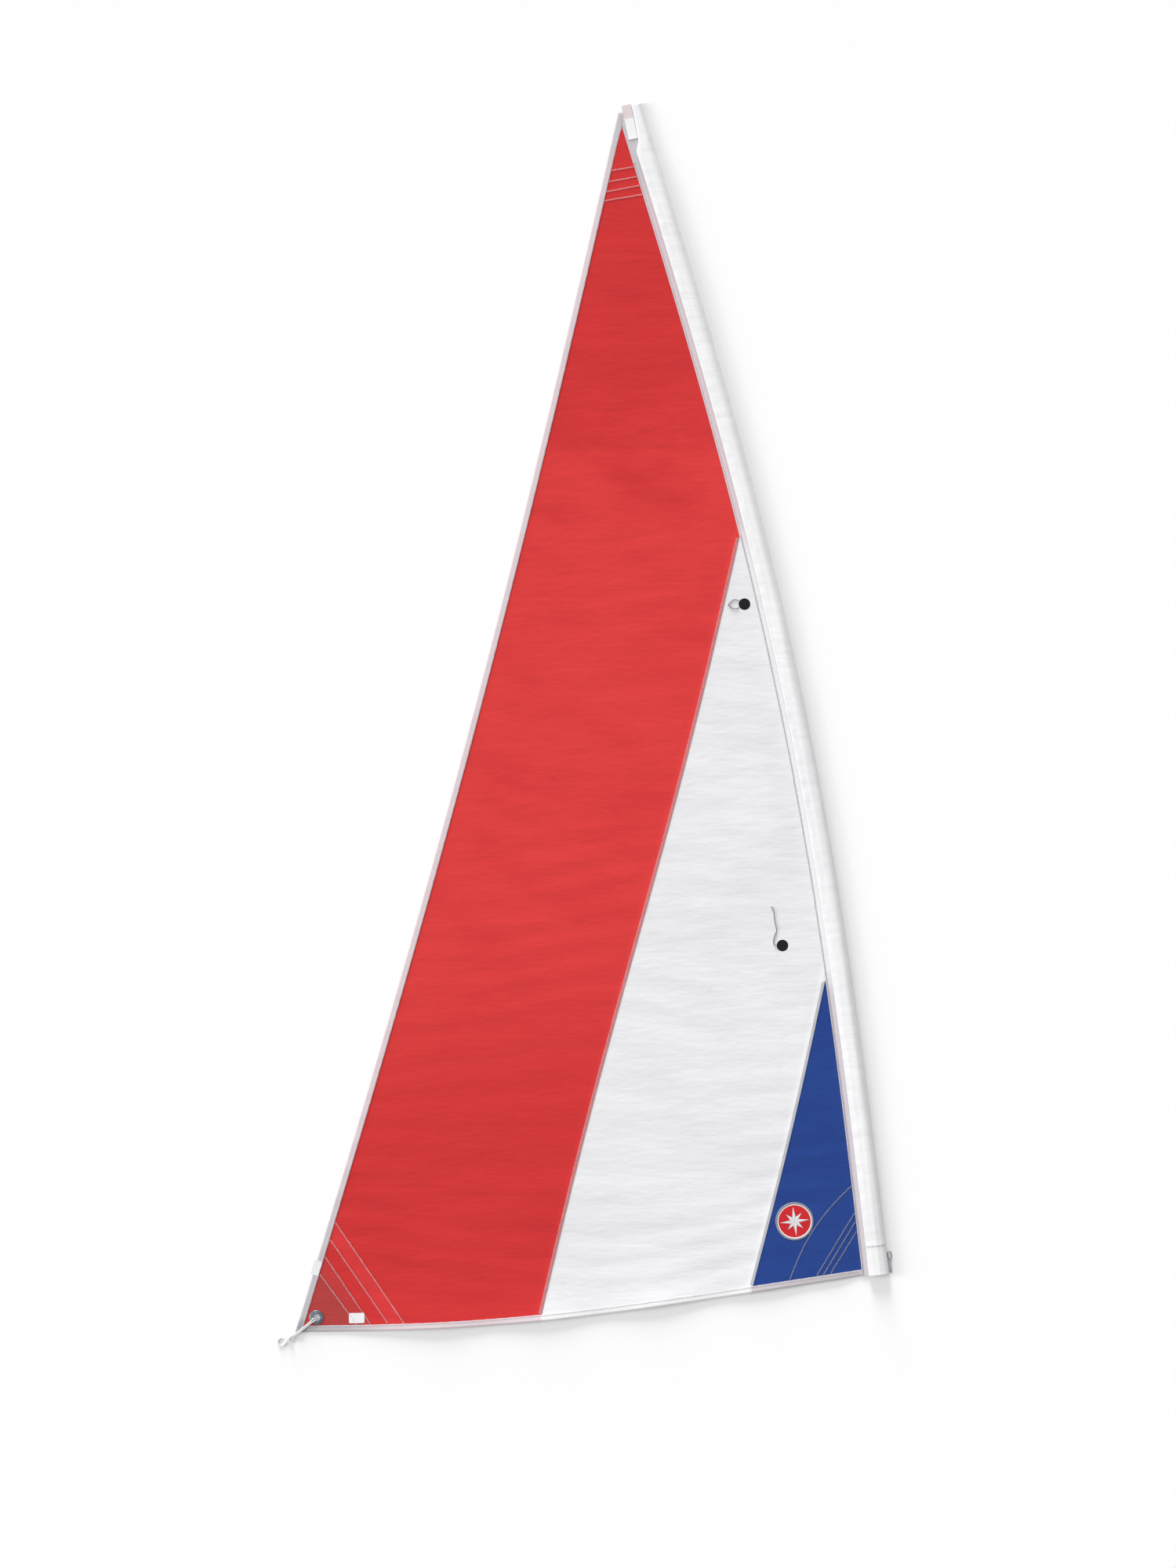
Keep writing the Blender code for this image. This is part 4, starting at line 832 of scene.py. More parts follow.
def make_finishes(plan: SailPlan) -> dict[Finish, bpy.types.Material]:
    """Make all the materials of the sail."""
    finishes = {**cloth_finishes(), **fibre_finishes(), **tape_finishes(plan),
                Finish.METAL: MetalFinish(tint(146, 153, 166), tint(100, 107, 120))}
    return {finish: recipe.make(finish.value) for finish, recipe in finishes.items()}


class Shape:
    """Points and faces of a piece, joined where places coincide."""

    def __init__(self) -> None:
        """Start with nothing."""
        self.points: list[Point] = []
        self.faces: list[Face] = []
        self.zones: list[int] = []
        self.known: dict[Point, int] = {}

    def vertex(self, point: Point) -> int:
        """Index of a point, which is added if no other lies there."""
        key = (round(point[0], 6), round(point[1], 6), round(point[2], 6))
        if key not in self.known:
            self.known[key] = len(self.points)
            self.points.append(point)
        return self.known[key]

    def face(self, corners: Sequence[int], zone: int = 0) -> None:
        """Add a face, without the corners that coincide."""
        kept = [corner for index, corner in enumerate(corners) if corner != corners[index - 1]]
        if len(kept) > 2 and len(set(kept)) == len(kept):
            self.faces.append(tuple(kept))
            self.zones.append(zone)

    def grid(self, rows: Rows, zones: Sequence[int] = (), closed: bool = False) -> None:
        """Add quads between rows of points.

        Args:
            rows: Rows with the same number of points.
            zones: Finish of each column of quads, the first one if left out.
            closed: Whether each row runs round to its own start.
        """
        indices = [[self.vertex(point) for point in row] for row in rows]
        size = len(rows[0])
        for low, high in zip(indices, indices[1:]):
            for side in range(size if closed else size - 1):
                after = (side + 1) % size
                zone = zones[side] if zones else 0
                self.face((low[side], low[after], high[after], high[side]), zone)

    def cap(self, ring: Sequence[Point]) -> None:
        """Close the end of a tube with one face."""
        self.face([self.vertex(point) for point in ring])

    def prism(self, rings: Rows, zones: Sequence[int] = ()) -> None:
        """Add a closed solid between rings of points."""
        self.grid(rings, zones, closed=True)
        self.cap(rings[0])
        self.cap(rings[-1])

    def thicken(self, thickness: float) -> None:
        """Turn an open sheet into a closed solid.

        Args:
            thickness: How far it hangs below the sheet.
        """
        below = len(self.points)
        self.points += [(x, y, z - thickness) for x, y, z in self.points]
        sides: dict[tuple[int, int], int] = {}
        for face, zone in zip(self.faces, self.zones):
            for first, second in zip(face, face[1:] + face[:1]):
                if (second, first) in sides:
                    del sides[(second, first)]
                else:
                    sides[(first, second)] = zone
        under = [tuple(below + corner for corner in reversed(face)) for face in self.faces]
        self.faces += under
        self.zones += self.zones[:len(under)]
        for (first, second), zone in sides.items():
            self.faces.append((second, first, below + first, below + second))
            self.zones.append(zone)

    def tube(self, path: Sequence[Point], radius: float | Callable[[float, float], float], sides: int,
             closed: bool = False) -> None:
        """Add a round tube along a path.

        Args:
            path: Points of its middle line.
            radius: Its radius, or a function of the distance along it and the turn about it.
            sides: Number of its sides.
            closed: Whether it runs round to its own start.
        """
        middles = [Vector(point) for point in path]
        normal = None
        rings = []
        run = 0.0
        for index, middle in enumerate(middles):
            before = middles[index - 1] if index or closed else middle
            after = middles[(index + 1) % len(middles)] if index < len(middles) - 1 or closed else middle
            tangent = (after - before).normalized()
            if normal is None:
                normal = tangent.orthogonal()
            normal = (normal - tangent * normal.dot(tangent)).normalized()
            across = tangent.cross(normal)
            ring = []
            for side in range(sides):
                turn = tau * side / sides
                size = radius(run, turn) if callable(radius) else radius
                point = middle + size * (cos(turn) * normal + sin(turn) * across)
                ring.append(tuple(point))
            rings.append(ring)
            if index < len(middles) - 1:
                run += (middles[index + 1] - middle).length
        if closed:
            self.grid([*rings, rings[0]], closed=True)
        else:
            self.prism(rings)


def even_steps(lengths: Sequence[float], count: int) -> Iterator[tuple[int, float]]:
    """Go along a line in even steps.

    Args:
        lengths: How far along the line each of its points lies.
        count: Number of steps.

    Yields:
        For each step, the point before it and the share of the way to the next point.
    """
    index = 0
    for step in range(count + 1):
        wanted = lengths[-1] * step / count
        while index < len(lengths) - 2 and lengths[index + 1] < wanted:
            index += 1
        yield index, (wanted - lengths[index]) / max(1e-9, lengths[index + 1] - lengths[index])


def path_length(path: Sequence[Point]) -> float:
    """Length of a path."""
    return sum(dist(one, two) for one, two in zip(path, path[1:]))


def resample(line: Sequence[complex], count: int) -> list[complex]:
    """Places at even steps along a line of places."""
    lengths = [0.0, *accumulate(abs(two - one) for one, two in zip(line, line[1:]))]
    return [line[index] + (line[index + 1] - line[index]) * share
            for index, share in even_steps(lengths, count)]


def patch_grid(bottom: Sequence[complex], top: Sequence[complex], left: Sequence[complex],
               right: Sequence[complex]) -> list[list[complex]]:
    """Places of a grid between four sides.

    Args:
        bottom: Places from left to right.
        top: As many places from left to right.
        left: Places from the bottom up.
        right: As many places from the bottom up.

    Returns:
        Rows of places from the bottom up.
    """
    rows = []
    for row, (start, end) in enumerate(zip(left, right)):
        v = row / (len(left) - 1)
        places = []
        for column, (low, high) in enumerate(zip(bottom, top)):
            u = column / (len(bottom) - 1)
            ruled = (1 - v) * low + v * high + (1 - u) * start + u * end
            corners = (1 - u) * (1 - v) * bottom[0] + u * (1 - v) * bottom[-1]
            corners += (1 - u) * v * top[0] + u * v * top[-1]
            places.append(ruled - corners)
        rows.append([start, *places[1:-1], end])
    rows[0] = list(bottom)
    rows[-1] = list(top)
    return rows


def smooth_route(route: Sequence[Point], spacing: float) -> list[Point]:
    """Lay a smooth curve through the points of a route.

    Args:
        route: Points that the curve goes through.
        spacing: Distance between the points that are given back, nearly.

    Returns:
        Points at an even spacing along the curve.
    """
    first = tuple(2 * a - b for a, b in zip(route[0], route[1]))
    last = tuple(2 * a - b for a, b in zip(route[-1], route[-2]))
    held = [first, *route, last]
    fine = []
    for index in range(1, len(held) - 2):
        for step in range(16):
            share = step / 16
            fine.append(tuple(
                0.5 * (2 * b + (c - a) * share + (2 * a - 5 * b + 4 * c - d) * share ** 2
                       + (3 * b - a - 3 * c + d) * share ** 3)
                for a, b, c, d in zip(*held[index - 1:index + 3])))
    fine.append(route[-1])
    lengths = [0.0, *accumulate(dist(one, two) for one, two in zip(fine, fine[1:]))]
    return [tuple(a + (b - a) * share for a, b in zip(fine[index], fine[index + 1]))
            for index, share in even_steps(lengths, max(2, round(lengths[-1] / spacing)))]


def place_route(route: Sequence[Point], origin: complex, heading: complex) -> list[Point]:
    """Route of distances, offsets to the left and heights, set in place."""
    return [at(origin + heading * (run + 1j * side), level) for run, side, level in route]


def spoke(turn: float) -> complex:
    """Direction at a turn in radians."""
    return complex(cos(turn), sin(turn))


def arc(centre: complex, radius: float, start: float, sweep: float, steps: int) -> list[complex]:
    """Places along an arc, both ends included."""
    return [centre + radius * spoke(start + sweep * step / steps) for step in range(steps + 1)]


def solid(rings: Rows, zones: Sequence[int] = ()) -> Shape:
    """Closed solid between rings of points."""
    shape = Shape()
    shape.prism(rings, zones)
    return shape


def cloth_over(rows: Rows, thickness: float, zones: Sequence[int] = ()) -> Shape:
    """Closed sheet that hangs its thickness below rows of points."""
    shape = Shape()
    shape.grid(rows, zones)
    shape.thicken(thickness)
    return shape


def turned_ring(profile: Sequence[Pair], place: complex, steps: int) -> Shape:
    """Ring turned from a closed profile of radii and heights."""
    shape = Shape()
    rows = []
    for step in range(steps + 1):
        way = spoke(tau * (step % steps) / steps)
        rows.append([at(place + radius * way, height) for radius, height in profile])
    shape.grid(rows, closed=True)
    return shape


def polygon_area(outline: Sequence[complex]) -> float:
    """Area inside an outline."""
    return abs(sum((one.conjugate() * two).imag for one, two in zip(outline, outline[1:] + outline[:1]))) / 2


@dataclass
class Workshop:
    """Turns shapes into pieces of the sail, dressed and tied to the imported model."""

    plan: SailPlan
    materials: dict[Finish, bpy.types.Material]

    def piece(self, name: str, shape: Shape, finishes: Finish | Sequence[Finish],
              replaces: Sequence[str] = (), body: str = "root", sharp: float = 50.0) -> Piece:
        """Make a piece.

        Args:
            name: Its name.
            shape: Its points and faces.
            finishes: Its finish, or one for each zone of the shape.
            replaces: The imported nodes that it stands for.
            body: The body that it moves with.
            sharp: Angle in degrees above which an edge stays sharp.

        Returns:
            The piece.
        """
        finishes = [finishes] if isinstance(finishes, Finish) else list(finishes)
        mesh = bpy.data.meshes.new(name)
        mesh.from_pydata(shape.points, [], shape.faces)
        mesh.polygons.foreach_set("material_index", shape.zones)
        for finish in finishes:
            mesh.materials.append(self.materials[finish])
        shell = bmesh.new()
        shell.from_mesh(mesh)
        bmesh.ops.recalc_face_normals(shell, faces=shell.faces)
        shell.to_mesh(mesh)
        shell.free()
        mesh.shade_smooth()
        mesh.set_sharp_from_angle(angle=radians(sharp))
        item = bpy.data.objects.new(name, mesh)
        bpy.context.collection.objects.link(item)
        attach(item, body)
        if replaces:
            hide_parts(*replaces)
        log.info("%s: %d faces on %s", name, len(mesh.polygons), body)
        return item

    def cut_eye(self, items: Sequence[Piece], radius: float) -> None:
        """Cut the clew's eye through pieces of cloth.

        Args:
            items: The pieces.
            radius: Radius of the hole.
        """
        circle = arc(self.plan.eye, radius, 0.0, tau, 48)[:-1]
        cutter = solid([[at(place, level) for place in circle] for level in (-0.004, 0.009)])
        mesh = bpy.data.meshes.new("clew_eye_cutter")
        mesh.from_pydata(cutter.points, [], cutter.faces)
        tool = bpy.data.objects.new("clew_eye_cutter", mesh)
        bpy.context.collection.objects.link(tool)
        for item in items:
            cut = item.modifiers.new("eye", "BOOLEAN")
            cut.operation = "DIFFERENCE"
            cut.object = tool
        view = bpy.context.evaluated_depsgraph_get()
        for item in items:
            item.data = bpy.data.meshes.new_from_object(item.evaluated_get(view))
            item.modifiers.clear()
        bpy.data.objects.remove(tool)
        log.info("eye cut through %d pieces", len(items))


@dataclass
class Panels:
    """The three panels of sailcloth, lapped at two seams."""

    shop: Workshop
    columns: int = 64
    seam_steps: int = 210
    luff_steps: int = 130
    leech_steps: int = 300
    outline_steps: int = 40
    lap_clearance: float = 0.002
    lap_ramp: float = 0.006
    lap_crown: float = 0.0001

    @property
    def ramp_foot(self) -> float:
        """Inset of the line from which a panel climbs onto its neighbour."""
        return -self.shop.plan.lap_width - self.lap_clearance - self.lap_ramp

    def lap(self, shape: Shape, seam: Edge) -> None:
        """Add the strip of a panel that climbs onto its neighbour at a seam.

        Args:
            shape: The panel's shape.
            seam: The seam.
        """
        plan = self.shop.plan
        line = ((self.ramp_foot, plan.panel_top), (self.ramp_foot + self.lap_ramp, plan.lap_top),
                (-0.5 * plan.lap_width, plan.lap_top + self.lap_crown), (0.0, plan.lap_top))
        rows = [plan.raised(plan.seam_row(seam, inset, self.seam_steps), level) for inset, level in line]
        shape.grid(rows[::-1])

    def panel(self, node: str, shape: Shape, finish: Finish, outline: Sequence[complex]) -> Piece:
        """Args:
            node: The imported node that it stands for.
            shape: Its upper face.
            finish: Its finish.
            outline: Its outline in plan.

        Returns:
            The panel.
        """
        shape.thicken(self.shop.plan.cloth)
        item = self.shop.piece(f"{node}_cloth", shape, finish, (node,))
        polygon_area(outline)
        return item

    def build(self) -> Piece:
        """Build the panels.

        Returns:
            The red panel, through which the clew's eye is cut.
        """
        red = self.red()
        self.white()
        self.blue()
        return red

    def spread(self, rows: Sequence[Sequence[complex]]) -> Shape:
        """Upper face of a panel over rows of places."""
        shape = Shape()
        shape.grid([self.shop.plan.raised(row, self.shop.plan.panel_top) for row in rows])
        return shape

    def foot_side(self, first: float, last: float, count: int) -> list[complex]:
        """Places on the cloth's edge in the foot tape, between two runs."""
        return self.shop.plan.foot.stretch(first, last, count, self.shop.plan.fold_inset)

    def red(self) -> Piece:
        """Build the panel of the head, the leech and the clew."""
        plan = self.shop.plan
        start = plan.clew_run()
        corner = plan.foot.point(start, plan.fold_inset)
        seam = plan.seam_row(plan.red_seam, self.ramp_foot, self.seam_steps)
        top = plan.luff_length - plan.luff_setback
        above = plan.luff_side(plan.luff.locate(seam[-1])[0], top, self.luff_steps)[1:]
        right = seam + above
        leech = plan.leech.stretch(plan.leech.locate(corner)[0], plan.leech_setback, self.leech_steps,
                                   plan.fold_inset)
        foot = self.foot_side(start, plan.foot.locate(seam[0])[0], self.columns)
        head = resample([leech[-1], right[-1]], self.columns)
        shape = self.spread(patch_grid(foot, head, resample(leech, len(right) - 1), right))
        self.lap(shape, plan.red_seam)
        outline = foot + plan.seam_row(plan.red_seam, 0.0, self.outline_steps) + above + leech[::-1]
        return self.panel("red_panel", shape, Finish.RED_CLOTH, outline)

    def white(self) -> Piece:
        """Build the panel of the middle."""
        plan = self.shop.plan
        left = plan.seam_row(plan.red_seam, -plan.lap_width, self.seam_steps)
        right = plan.seam_row(plan.blue_seam, self.ramp_foot, self.seam_steps)
        foot = self.foot_side(plan.foot.locate(left[0])[0], plan.foot.locate(right[0])[0], self.columns)
        luff = plan.luff_side(plan.luff.locate(left[-1])[0], plan.luff.locate(right[-1])[0], self.columns)
        shape = self.spread(patch_grid(foot, luff, left, right))
        self.lap(shape, plan.blue_seam)
        outline = foot + plan.seam_row(plan.blue_seam, 0.0, self.outline_steps) + luff[::-1] + left[::-1]
        return self.panel("white_panel", shape, Finish.WHITE_CLOTH, outline)

    def blue(self) -> Piece:
        """Build the panel of the tack."""
        plan = self.shop.plan
        left = plan.seam_row(plan.blue_seam, -plan.lap_width, self.seam_steps // 2)
        foot = self.foot_side(plan.foot.locate(left[0])[0], plan.tack_run(), self.columns // 2)
        luff = plan.luff_side(plan.luff.locate(foot[-1])[0], plan.luff.locate(left[-1])[0], len(left) - 1)
        shape = self.spread(patch_grid(foot, [left[-1]] * len(foot), left, luff))
        return self.panel("blue_panel", shape, Finish.BLUE_CLOTH, foot + luff + left[::-1])


PATCH_FINISHES = {
    Corner.CLEW: (Finish.CLEW_OUTER_CLOTH, Finish.RED_CLOTH, Finish.CLEW_EDGE_CLOTH, Finish.CLEW_CLOTH),
    Corner.HEAD: (Finish.RED_CLOTH,) * 4,
    Corner.TACK: (Finish.BLUE_CLOTH,) * 4}


@dataclass
class CornerPatches:
    """Layers of cloth that stiffen the three corners."""

    shop: Workshop
    tack_round: float = 0.035
    rows: int = 60
    columns: int = 48

    def sides(self, corner: Corner, index: int) -> tuple[list[complex], list[complex]]:
        """Lay out the two edges of a patch that run in the sail's own edges.

        Args:
            corner: Corner of the sail.
            index: The patch, counted from the largest.

        Returns:
            Places along both edges, from the sail's corner to the patch's inner edge.
        """
        plan = self.shop.plan
        first, second = plan.patches(corner)[index]
        if corner is Corner.HEAD:
            return (plan.leech.stretch(plan.leech_setback, first, self.rows, plan.fold_inset),
                    plan.luff_side(plan.luff_length - plan.luff_setback, plan.luff_length - second,
                                   self.rows))
        start = plan.clew_run() if corner is Corner.CLEW else plan.tack_run()
        place = plan.foot.point(start, plan.fold_inset)
        if corner is Corner.CLEW:
            return (plan.leech.stretch(plan.leech.locate(place)[0], plan.leech.span - first, self.rows,
                                       plan.fold_inset),
                    plan.foot.stretch(start, second, self.rows, plan.fold_inset))
        return (plan.foot.stretch(start, plan.foot.span - second, self.rows, plan.fold_inset),
                plan.luff_side(plan.luff.locate(place)[0], first, self.rows))

    def rim(self, corner: Corner, index: int) -> Edge:
        """Inner edge of a patch, between the ends of its sides."""
        left, right = self.sides(corner, index)
        bow = (self.tack_round,) if corner is Corner.TACK and index == 0 else ()
        return Edge(left[-1], right[-1], bow)

    def build(self) -> list[Piece]:
        """Build the patches.

        Returns:
            The patches at the clew, through which its eye is cut.
        """
        plan = self.shop.plan
        items: dict[Corner, list[Piece]] = {corner: [] for corner in Corner}
        for corner in Corner:
            for index, finish in enumerate(PATCH_FINISHES[corner]):
                left, right = self.sides(corner, index)
                edge = self.rim(corner, index)
                rim = edge.stretch(0.0, edge.span, self.columns)
                start = resample([left[0], right[0]], self.columns)
                top = plan.panel_top + (index + 1) * plan.patch_pitch
                shape = cloth_over([plan.raised(row, top) for row in patch_grid(start, rim, left, right)],
                                   plan.cloth)
                name = f"{corner.value}_patch_{index + 1}"
                item = self.shop.piece(f"{name}_cloth", shape, finish, (name,))
                abs(rim[-1] - rim[0])
                abs(left[-1] - left[0])
                polygon_area(left + rim + right[::-1])
                items[corner].append(item)
        return items[Corner.CLEW]


@dataclass
class EdgeTapes:
    """Tapes folded round the leech and the foot."""

    shop: Workshop
    spacing: float = 0.014
    pucker: float = 0.00035
    pucker_phase: float = 1.9
    fold_steps: int = 5
    fold_share: float = 0.25
    flat_share: float = 0.62
    crown: float = 0.0001
    head_flare: float = 0.006
    flare_run: float = 0.09
    end_margin: float = 0.004

    def section(self, width: float, base: float) -> list[Pair]:
        """Draw the section of a tape round the cloth's edge.

        Args:
            width: Width of the tape's flaps.
            base: Underside of its upper flap.

        Returns:
            Insets and heights round the section.
        """
        plan = self.shop.plan
        top, fold = base + plan.cloth, self.fold_share * width
        outer = [(width, top), (self.flat_share * width, top + self.crown), (fold, top + self.crown)]
        for step in range(1, self.fold_steps):
            turn = pi * step / self.fold_steps
            outer.append((top / 2 * (1 - sin(turn)), top / 2 * (1 + cos(turn))))
        outer += [(fold, 0.0), (width, 0.0)]
        inner = [(width, plan.cloth), (fold, plan.cloth), (top / 2, plan.cloth + self.crown),
                 (plan.cloth, top / 2), (top / 2, base - self.crown), (fold, base), (width, base)]
        return outer + inner

    def ring(self, edge: Edge, section: Sequence[Pair], run_at: Callable[[float], float],
             phase: float) -> list[Point]:
        """Set the section of a tape in place, slightly puckered.

        Args:
            edge: The edge that the tape follows.
            section: Insets and heights.
            run_at: Run along the edge at an inset.
            phase: Phase of the puckers.

        Returns:
            Points round the section.
        """
        plan = self.shop.plan
        points = []
        for inset, level in section:
            run = run_at(inset)
            wave = self.pucker * sin(phase) * (inset > plan.cloth)
            rise = plan.lift(edge.point(run, max(inset, plan.fold_inset)))
            points.append(at(edge.point(run, inset + wave), level + rise))
        return points

    def leech_width(self, run: float) -> float:
        """Width of the leech tape, cut back where it would reach the sleeve's flange."""
        plan = self.shop.plan

        def clearance(width: float) -> float:
            """Room between a tape of this width and the flange."""
            height, inset = plan.luff.locate(plan.leech.point(run, width))
            return inset - plan.sleeve_width(height) - 2 * GAP - self.pucker

        width = plan.tape_width + self.head_flare * ease(1 - run / self.flare_run)
        return width if clearance(width) > 0 else crossing(clearance, 2 * plan.cloth, width)

    def sweep(self, node: str, edge: Edge, rings: Rows, finish: Finish) -> None:
        """Args:
            node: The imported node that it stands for.
            edge: The edge that it follows.
            rings: Sections in place.
            finish: Its finish.
        """
        item = self.shop.piece(f"{node}_weave", solid(rings), finish, (node,), sharp=70.0)
        width = 2 * self.shop.plan.tape_width
        edge.span
        width * edge.span

    def build(self) -> None:
        """Build both tapes."""
        self.leech_tape()
        self.foot_tape()

    def leech_tape(self) -> None:
        """Build the tape of the leech, whose lower end is cut off along the foot."""
        plan = self.shop.plan
        leech, foot = plan.leech, plan.foot
        count = round(leech.span / self.spacing)
        rings = []
        for step in range(count):
            run = leech.span * step / count
            if run > leech.span - 2 * plan.tape_width:
                break
            section = self.section(self.leech_width(run), plan.leech_flap(run))
            rings.append(self.ring(leech, section, lambda inset, run=run: run, self.pucker_phase * step))

        def run_at_foot(inset: float) -> float:
            """Run at which the tape reaches the foot."""
            return crossing(lambda run: foot.locate(leech.point(run, inset))[1],
                            leech.span - 2 * plan.tape_width, leech.span + plan.tape_width)

        section = self.section(plan.tape_width, plan.flap_base(4))
        rings.append(self.ring(leech, section, run_at_foot, 0.0))
        self.sweep("leech_tape", leech, rings, Finish.LEECH_TAPE)

    def foot_tape(self) -> None:
        """Build the tape of the foot, cut off along the leech tape and the sleeve's flange."""
        plan = self.shop.plan
        leech, foot = plan.leech, plan.foot

        def run_at_leech(inset: float) -> float:
            """Run at which the tape reaches the leech tape."""
            return crossing(lambda run: leech.locate(foot.point(run, inset))[1] - plan.tape_width
                            - 2 * GAP - self.pucker, 0.0, 4 * plan.tape_width)

        def room(run: float, inset: float) -> float:
            """Room between the tape and the flange."""
            height, depth = plan.luff.locate(foot.point(run, inset))
            return depth - plan.sleeve_width(height) - 2 * GAP

        def run_at_flange(inset: float) -> float:
            """Run at which the tape reaches the flange."""
            return crossing(lambda run: room(run, inset), foot.span - 4 * plan.tape_width,
                            foot.span + plan.tape_width)

        section = self.section(plan.tape_width, plan.flap_base(4))
        rings = [self.ring(foot, section, run_at_leech, 0.0)]
        count = round(foot.span / self.spacing)
        first = max(run_at_leech(inset) for inset in (0.0, plan.tape_width)) + self.end_margin
        last = min(run_at_flange(inset) for inset in (0.0, plan.tape_width)) - self.end_margin
        for step in range(count + 1):
            run = mix(first, last, step / count)
            rings.append(self.ring(foot, self.section(plan.tape_width, plan.foot_flap(run)),
                                   lambda inset, run=run: run, self.pucker_phase * step))
        rings.append(self.ring(foot, section, run_at_flange, 0.0))
        self.sweep("foot_tape", foot, rings, Finish.FOOT_TAPE)


@dataclass
class MastSleeve:
    """Sleeve for the mast: flat starboard side, puffed port side, cuff, closure, cap and strap."""

    shop: Workshop
    cloth: float = 0.0005
    arch_length: float = 0.105
    flat_width: float = 0.097
    dome_height: float = 0.026
    head_rise: float = 0.60
    head_run: float = 0.45
    luff_power: float = 3.1
    flange_power: float = 14.0
    shoulder: float = 0.74
    crest: float = 0.62
    shoulder_power: float = 1.3
    spacing: float = 0.0085
    arch_steps: int = 30
    flange_steps: int = 4
    painted_shade_steps: int = 3
    flange_rise: float = 0.00025
    ruffle_rate: float = 270.0
    cuff_height: float = 0.113
    cuff_cloth: float = 0.0006
    lining_clearance: float = 0.0002
    closure_depth: float = 0.014
    closure_setback: float = 0.002
    strap_width: float = 0.034
    strap_cloth: float = 0.0008
    strap_length: float = 0.080
    strap_clearance: float = 0.001
    strap_end: float = 0.0009
    cap_length: float = 0.044
    cap_overhang: float = 0.0085

    def stations(self, first: float, last: float, spacing: float) -> list[float]:
        """Heights at which sections stand."""
        count = max(2, round((last - first) / spacing))
        return [mix(first, last, step / count) for step in range(count + 1)]

    def rise(self, height: float) -> float:
        """Height of the puffed cloth over the floor, which falls towards the head."""
        head = ease(1 + (height - self.shop.plan.luff_length) / self.head_run)
        return self.dome_height * mix(1.0, self.head_rise, head)

    def dent(self, height: float, share: float) -> float:
        """How far the puffed cloth is drawn in by soft dents and by puckers along the flange.

        Args:
            height: Height along the luff.
            share: Share of the way across the tube, from the luff to the flange.

        Returns:
            A share of the tube's rise.
        """
        soft = noise.noise(Vector((share * 1.6, height * 4.2, 11.0)))
        long_fold = noise.noise(Vector((share * 5.0, height * 1.1, 4.0)))
        pucker = noise.noise(Vector((share * 2.2, height * 27.0, 8.0))) * ease((share - 0.52) / 0.45)
        return 0.075 + 0.050 * soft + 0.040 * long_fold + 0.050 * pucker

    def arch(self, height: float, inset: float = 0.0, lift: float = 0.0) -> list[Pair]:
        """Draw the puffed line across the tube, from the luff to the flange.

        Args:
            height: Height along the luff.
            inset: How far the line lies inside the cloth's outer face.
            lift: How far its ends lie above the cloth that the tube rests on.

        Returns:
            Insets and heights along the line.
        """
        plan = self.shop.plan
        width = plan.tube_width(height)
        points = []
        for step in range(self.arch_steps + 1):
            place = sin(pi * (step / self.arch_steps - 0.5))
            power = self.luff_power if place < 0 else self.flange_power
            crown = max(0.0, 1 - abs(place) ** power) ** (1 / power)
            slope = max(0.0, 1 - (1 - place) / (2 * self.crest))
            crown *= mix(1.0, self.shoulder, slope ** self.shoulder_power)
            across = inset + (width / 2 - inset) * (1 + place)
            share = across / width
            floor = mix(plan.panel_base, plan.luff_flap(height), share)
            puff = (self.rise(height) - inset - lift) * (1 - self.dent(height, share))
            points.append((across, floor + lift + puff * crown))
        return points

    def placed(self, height: float, section: Sequence[Pair]) -> list[Point]:
        """Section across the sleeve in place."""
        return [at(self.shop.plan.luff.point(height, inset), level) for inset, level in section]

    def port_side(self) -> None:
        """Puffed side in one long piece, with its flange and a strip of painted shade at its root."""
        plan = self.shop.plan
        rings = []
        for height in self.stations(0.0, plan.luff_length, self.spacing):
            width, full = plan.tube_width(height), plan.sleeve_width(height)
            ruffle = self.flange_rise * (1 + sin(height * self.ruffle_rate))
            flat = [mix(width, full, step / self.flange_steps) for step in range(self.flange_steps + 1)]
            under = [(inset, plan.luff_flap(height) + ruffle * (inset > width)) for inset in flat]
            top = [(inset, level + self.cloth) for inset, level in under]
            rings.append(self.placed(height, self.arch(height)[:-1] + top + under[:0:-1]
                                     + self.arch(height, self.cloth)[::-1]))
        zones = [0] * len(rings[0])
        # painted shade: the tube's last columns beside the flange take the darker crease cloth, painting the
        # shade of the fold at its root
        for side in range(self.arch_steps - self.painted_shade_steps, self.arch_steps):
            zones[side] = 2
        for side in range(self.arch_steps, self.arch_steps + 2 * self.flange_steps + 1):
            zones[side] = 1
        item = self.shop.piece("sleeve_port_cloth", solid(rings, zones),
                               (Finish.SLEEVE_CLOTH, Finish.FLANGE, Finish.CREASE),
                               [f"luff_sleeve_port_{index}" for index in range(1, 7)])
        self.declare(self.arch_length + plan.flange_width)

    def starboard_side(self) -> None:
        """Flat side, which lies on the floor."""
        plan = self.shop.plan
        rows = []
        for height in self.stations(0.0, plan.luff_length, self.spacing):
            full = plan.sleeve_width(height)
            rows.append([at(plan.luff.point(height, full * step / 8), self.cloth) for step in range(9)])
        item = self.shop.piece("sleeve_starboard_cloth", cloth_over(rows, self.cloth), Finish.SLEEVE_CLOTH,
                               ["luff_sleeve_starboard"])
        self.declare(self.flat_width)

    def declare(self, width: float) -> None:
        """Work out the area of a long side of the sleeve, which is not kept."""
        length = self.shop.plan.luff_length
        width * length

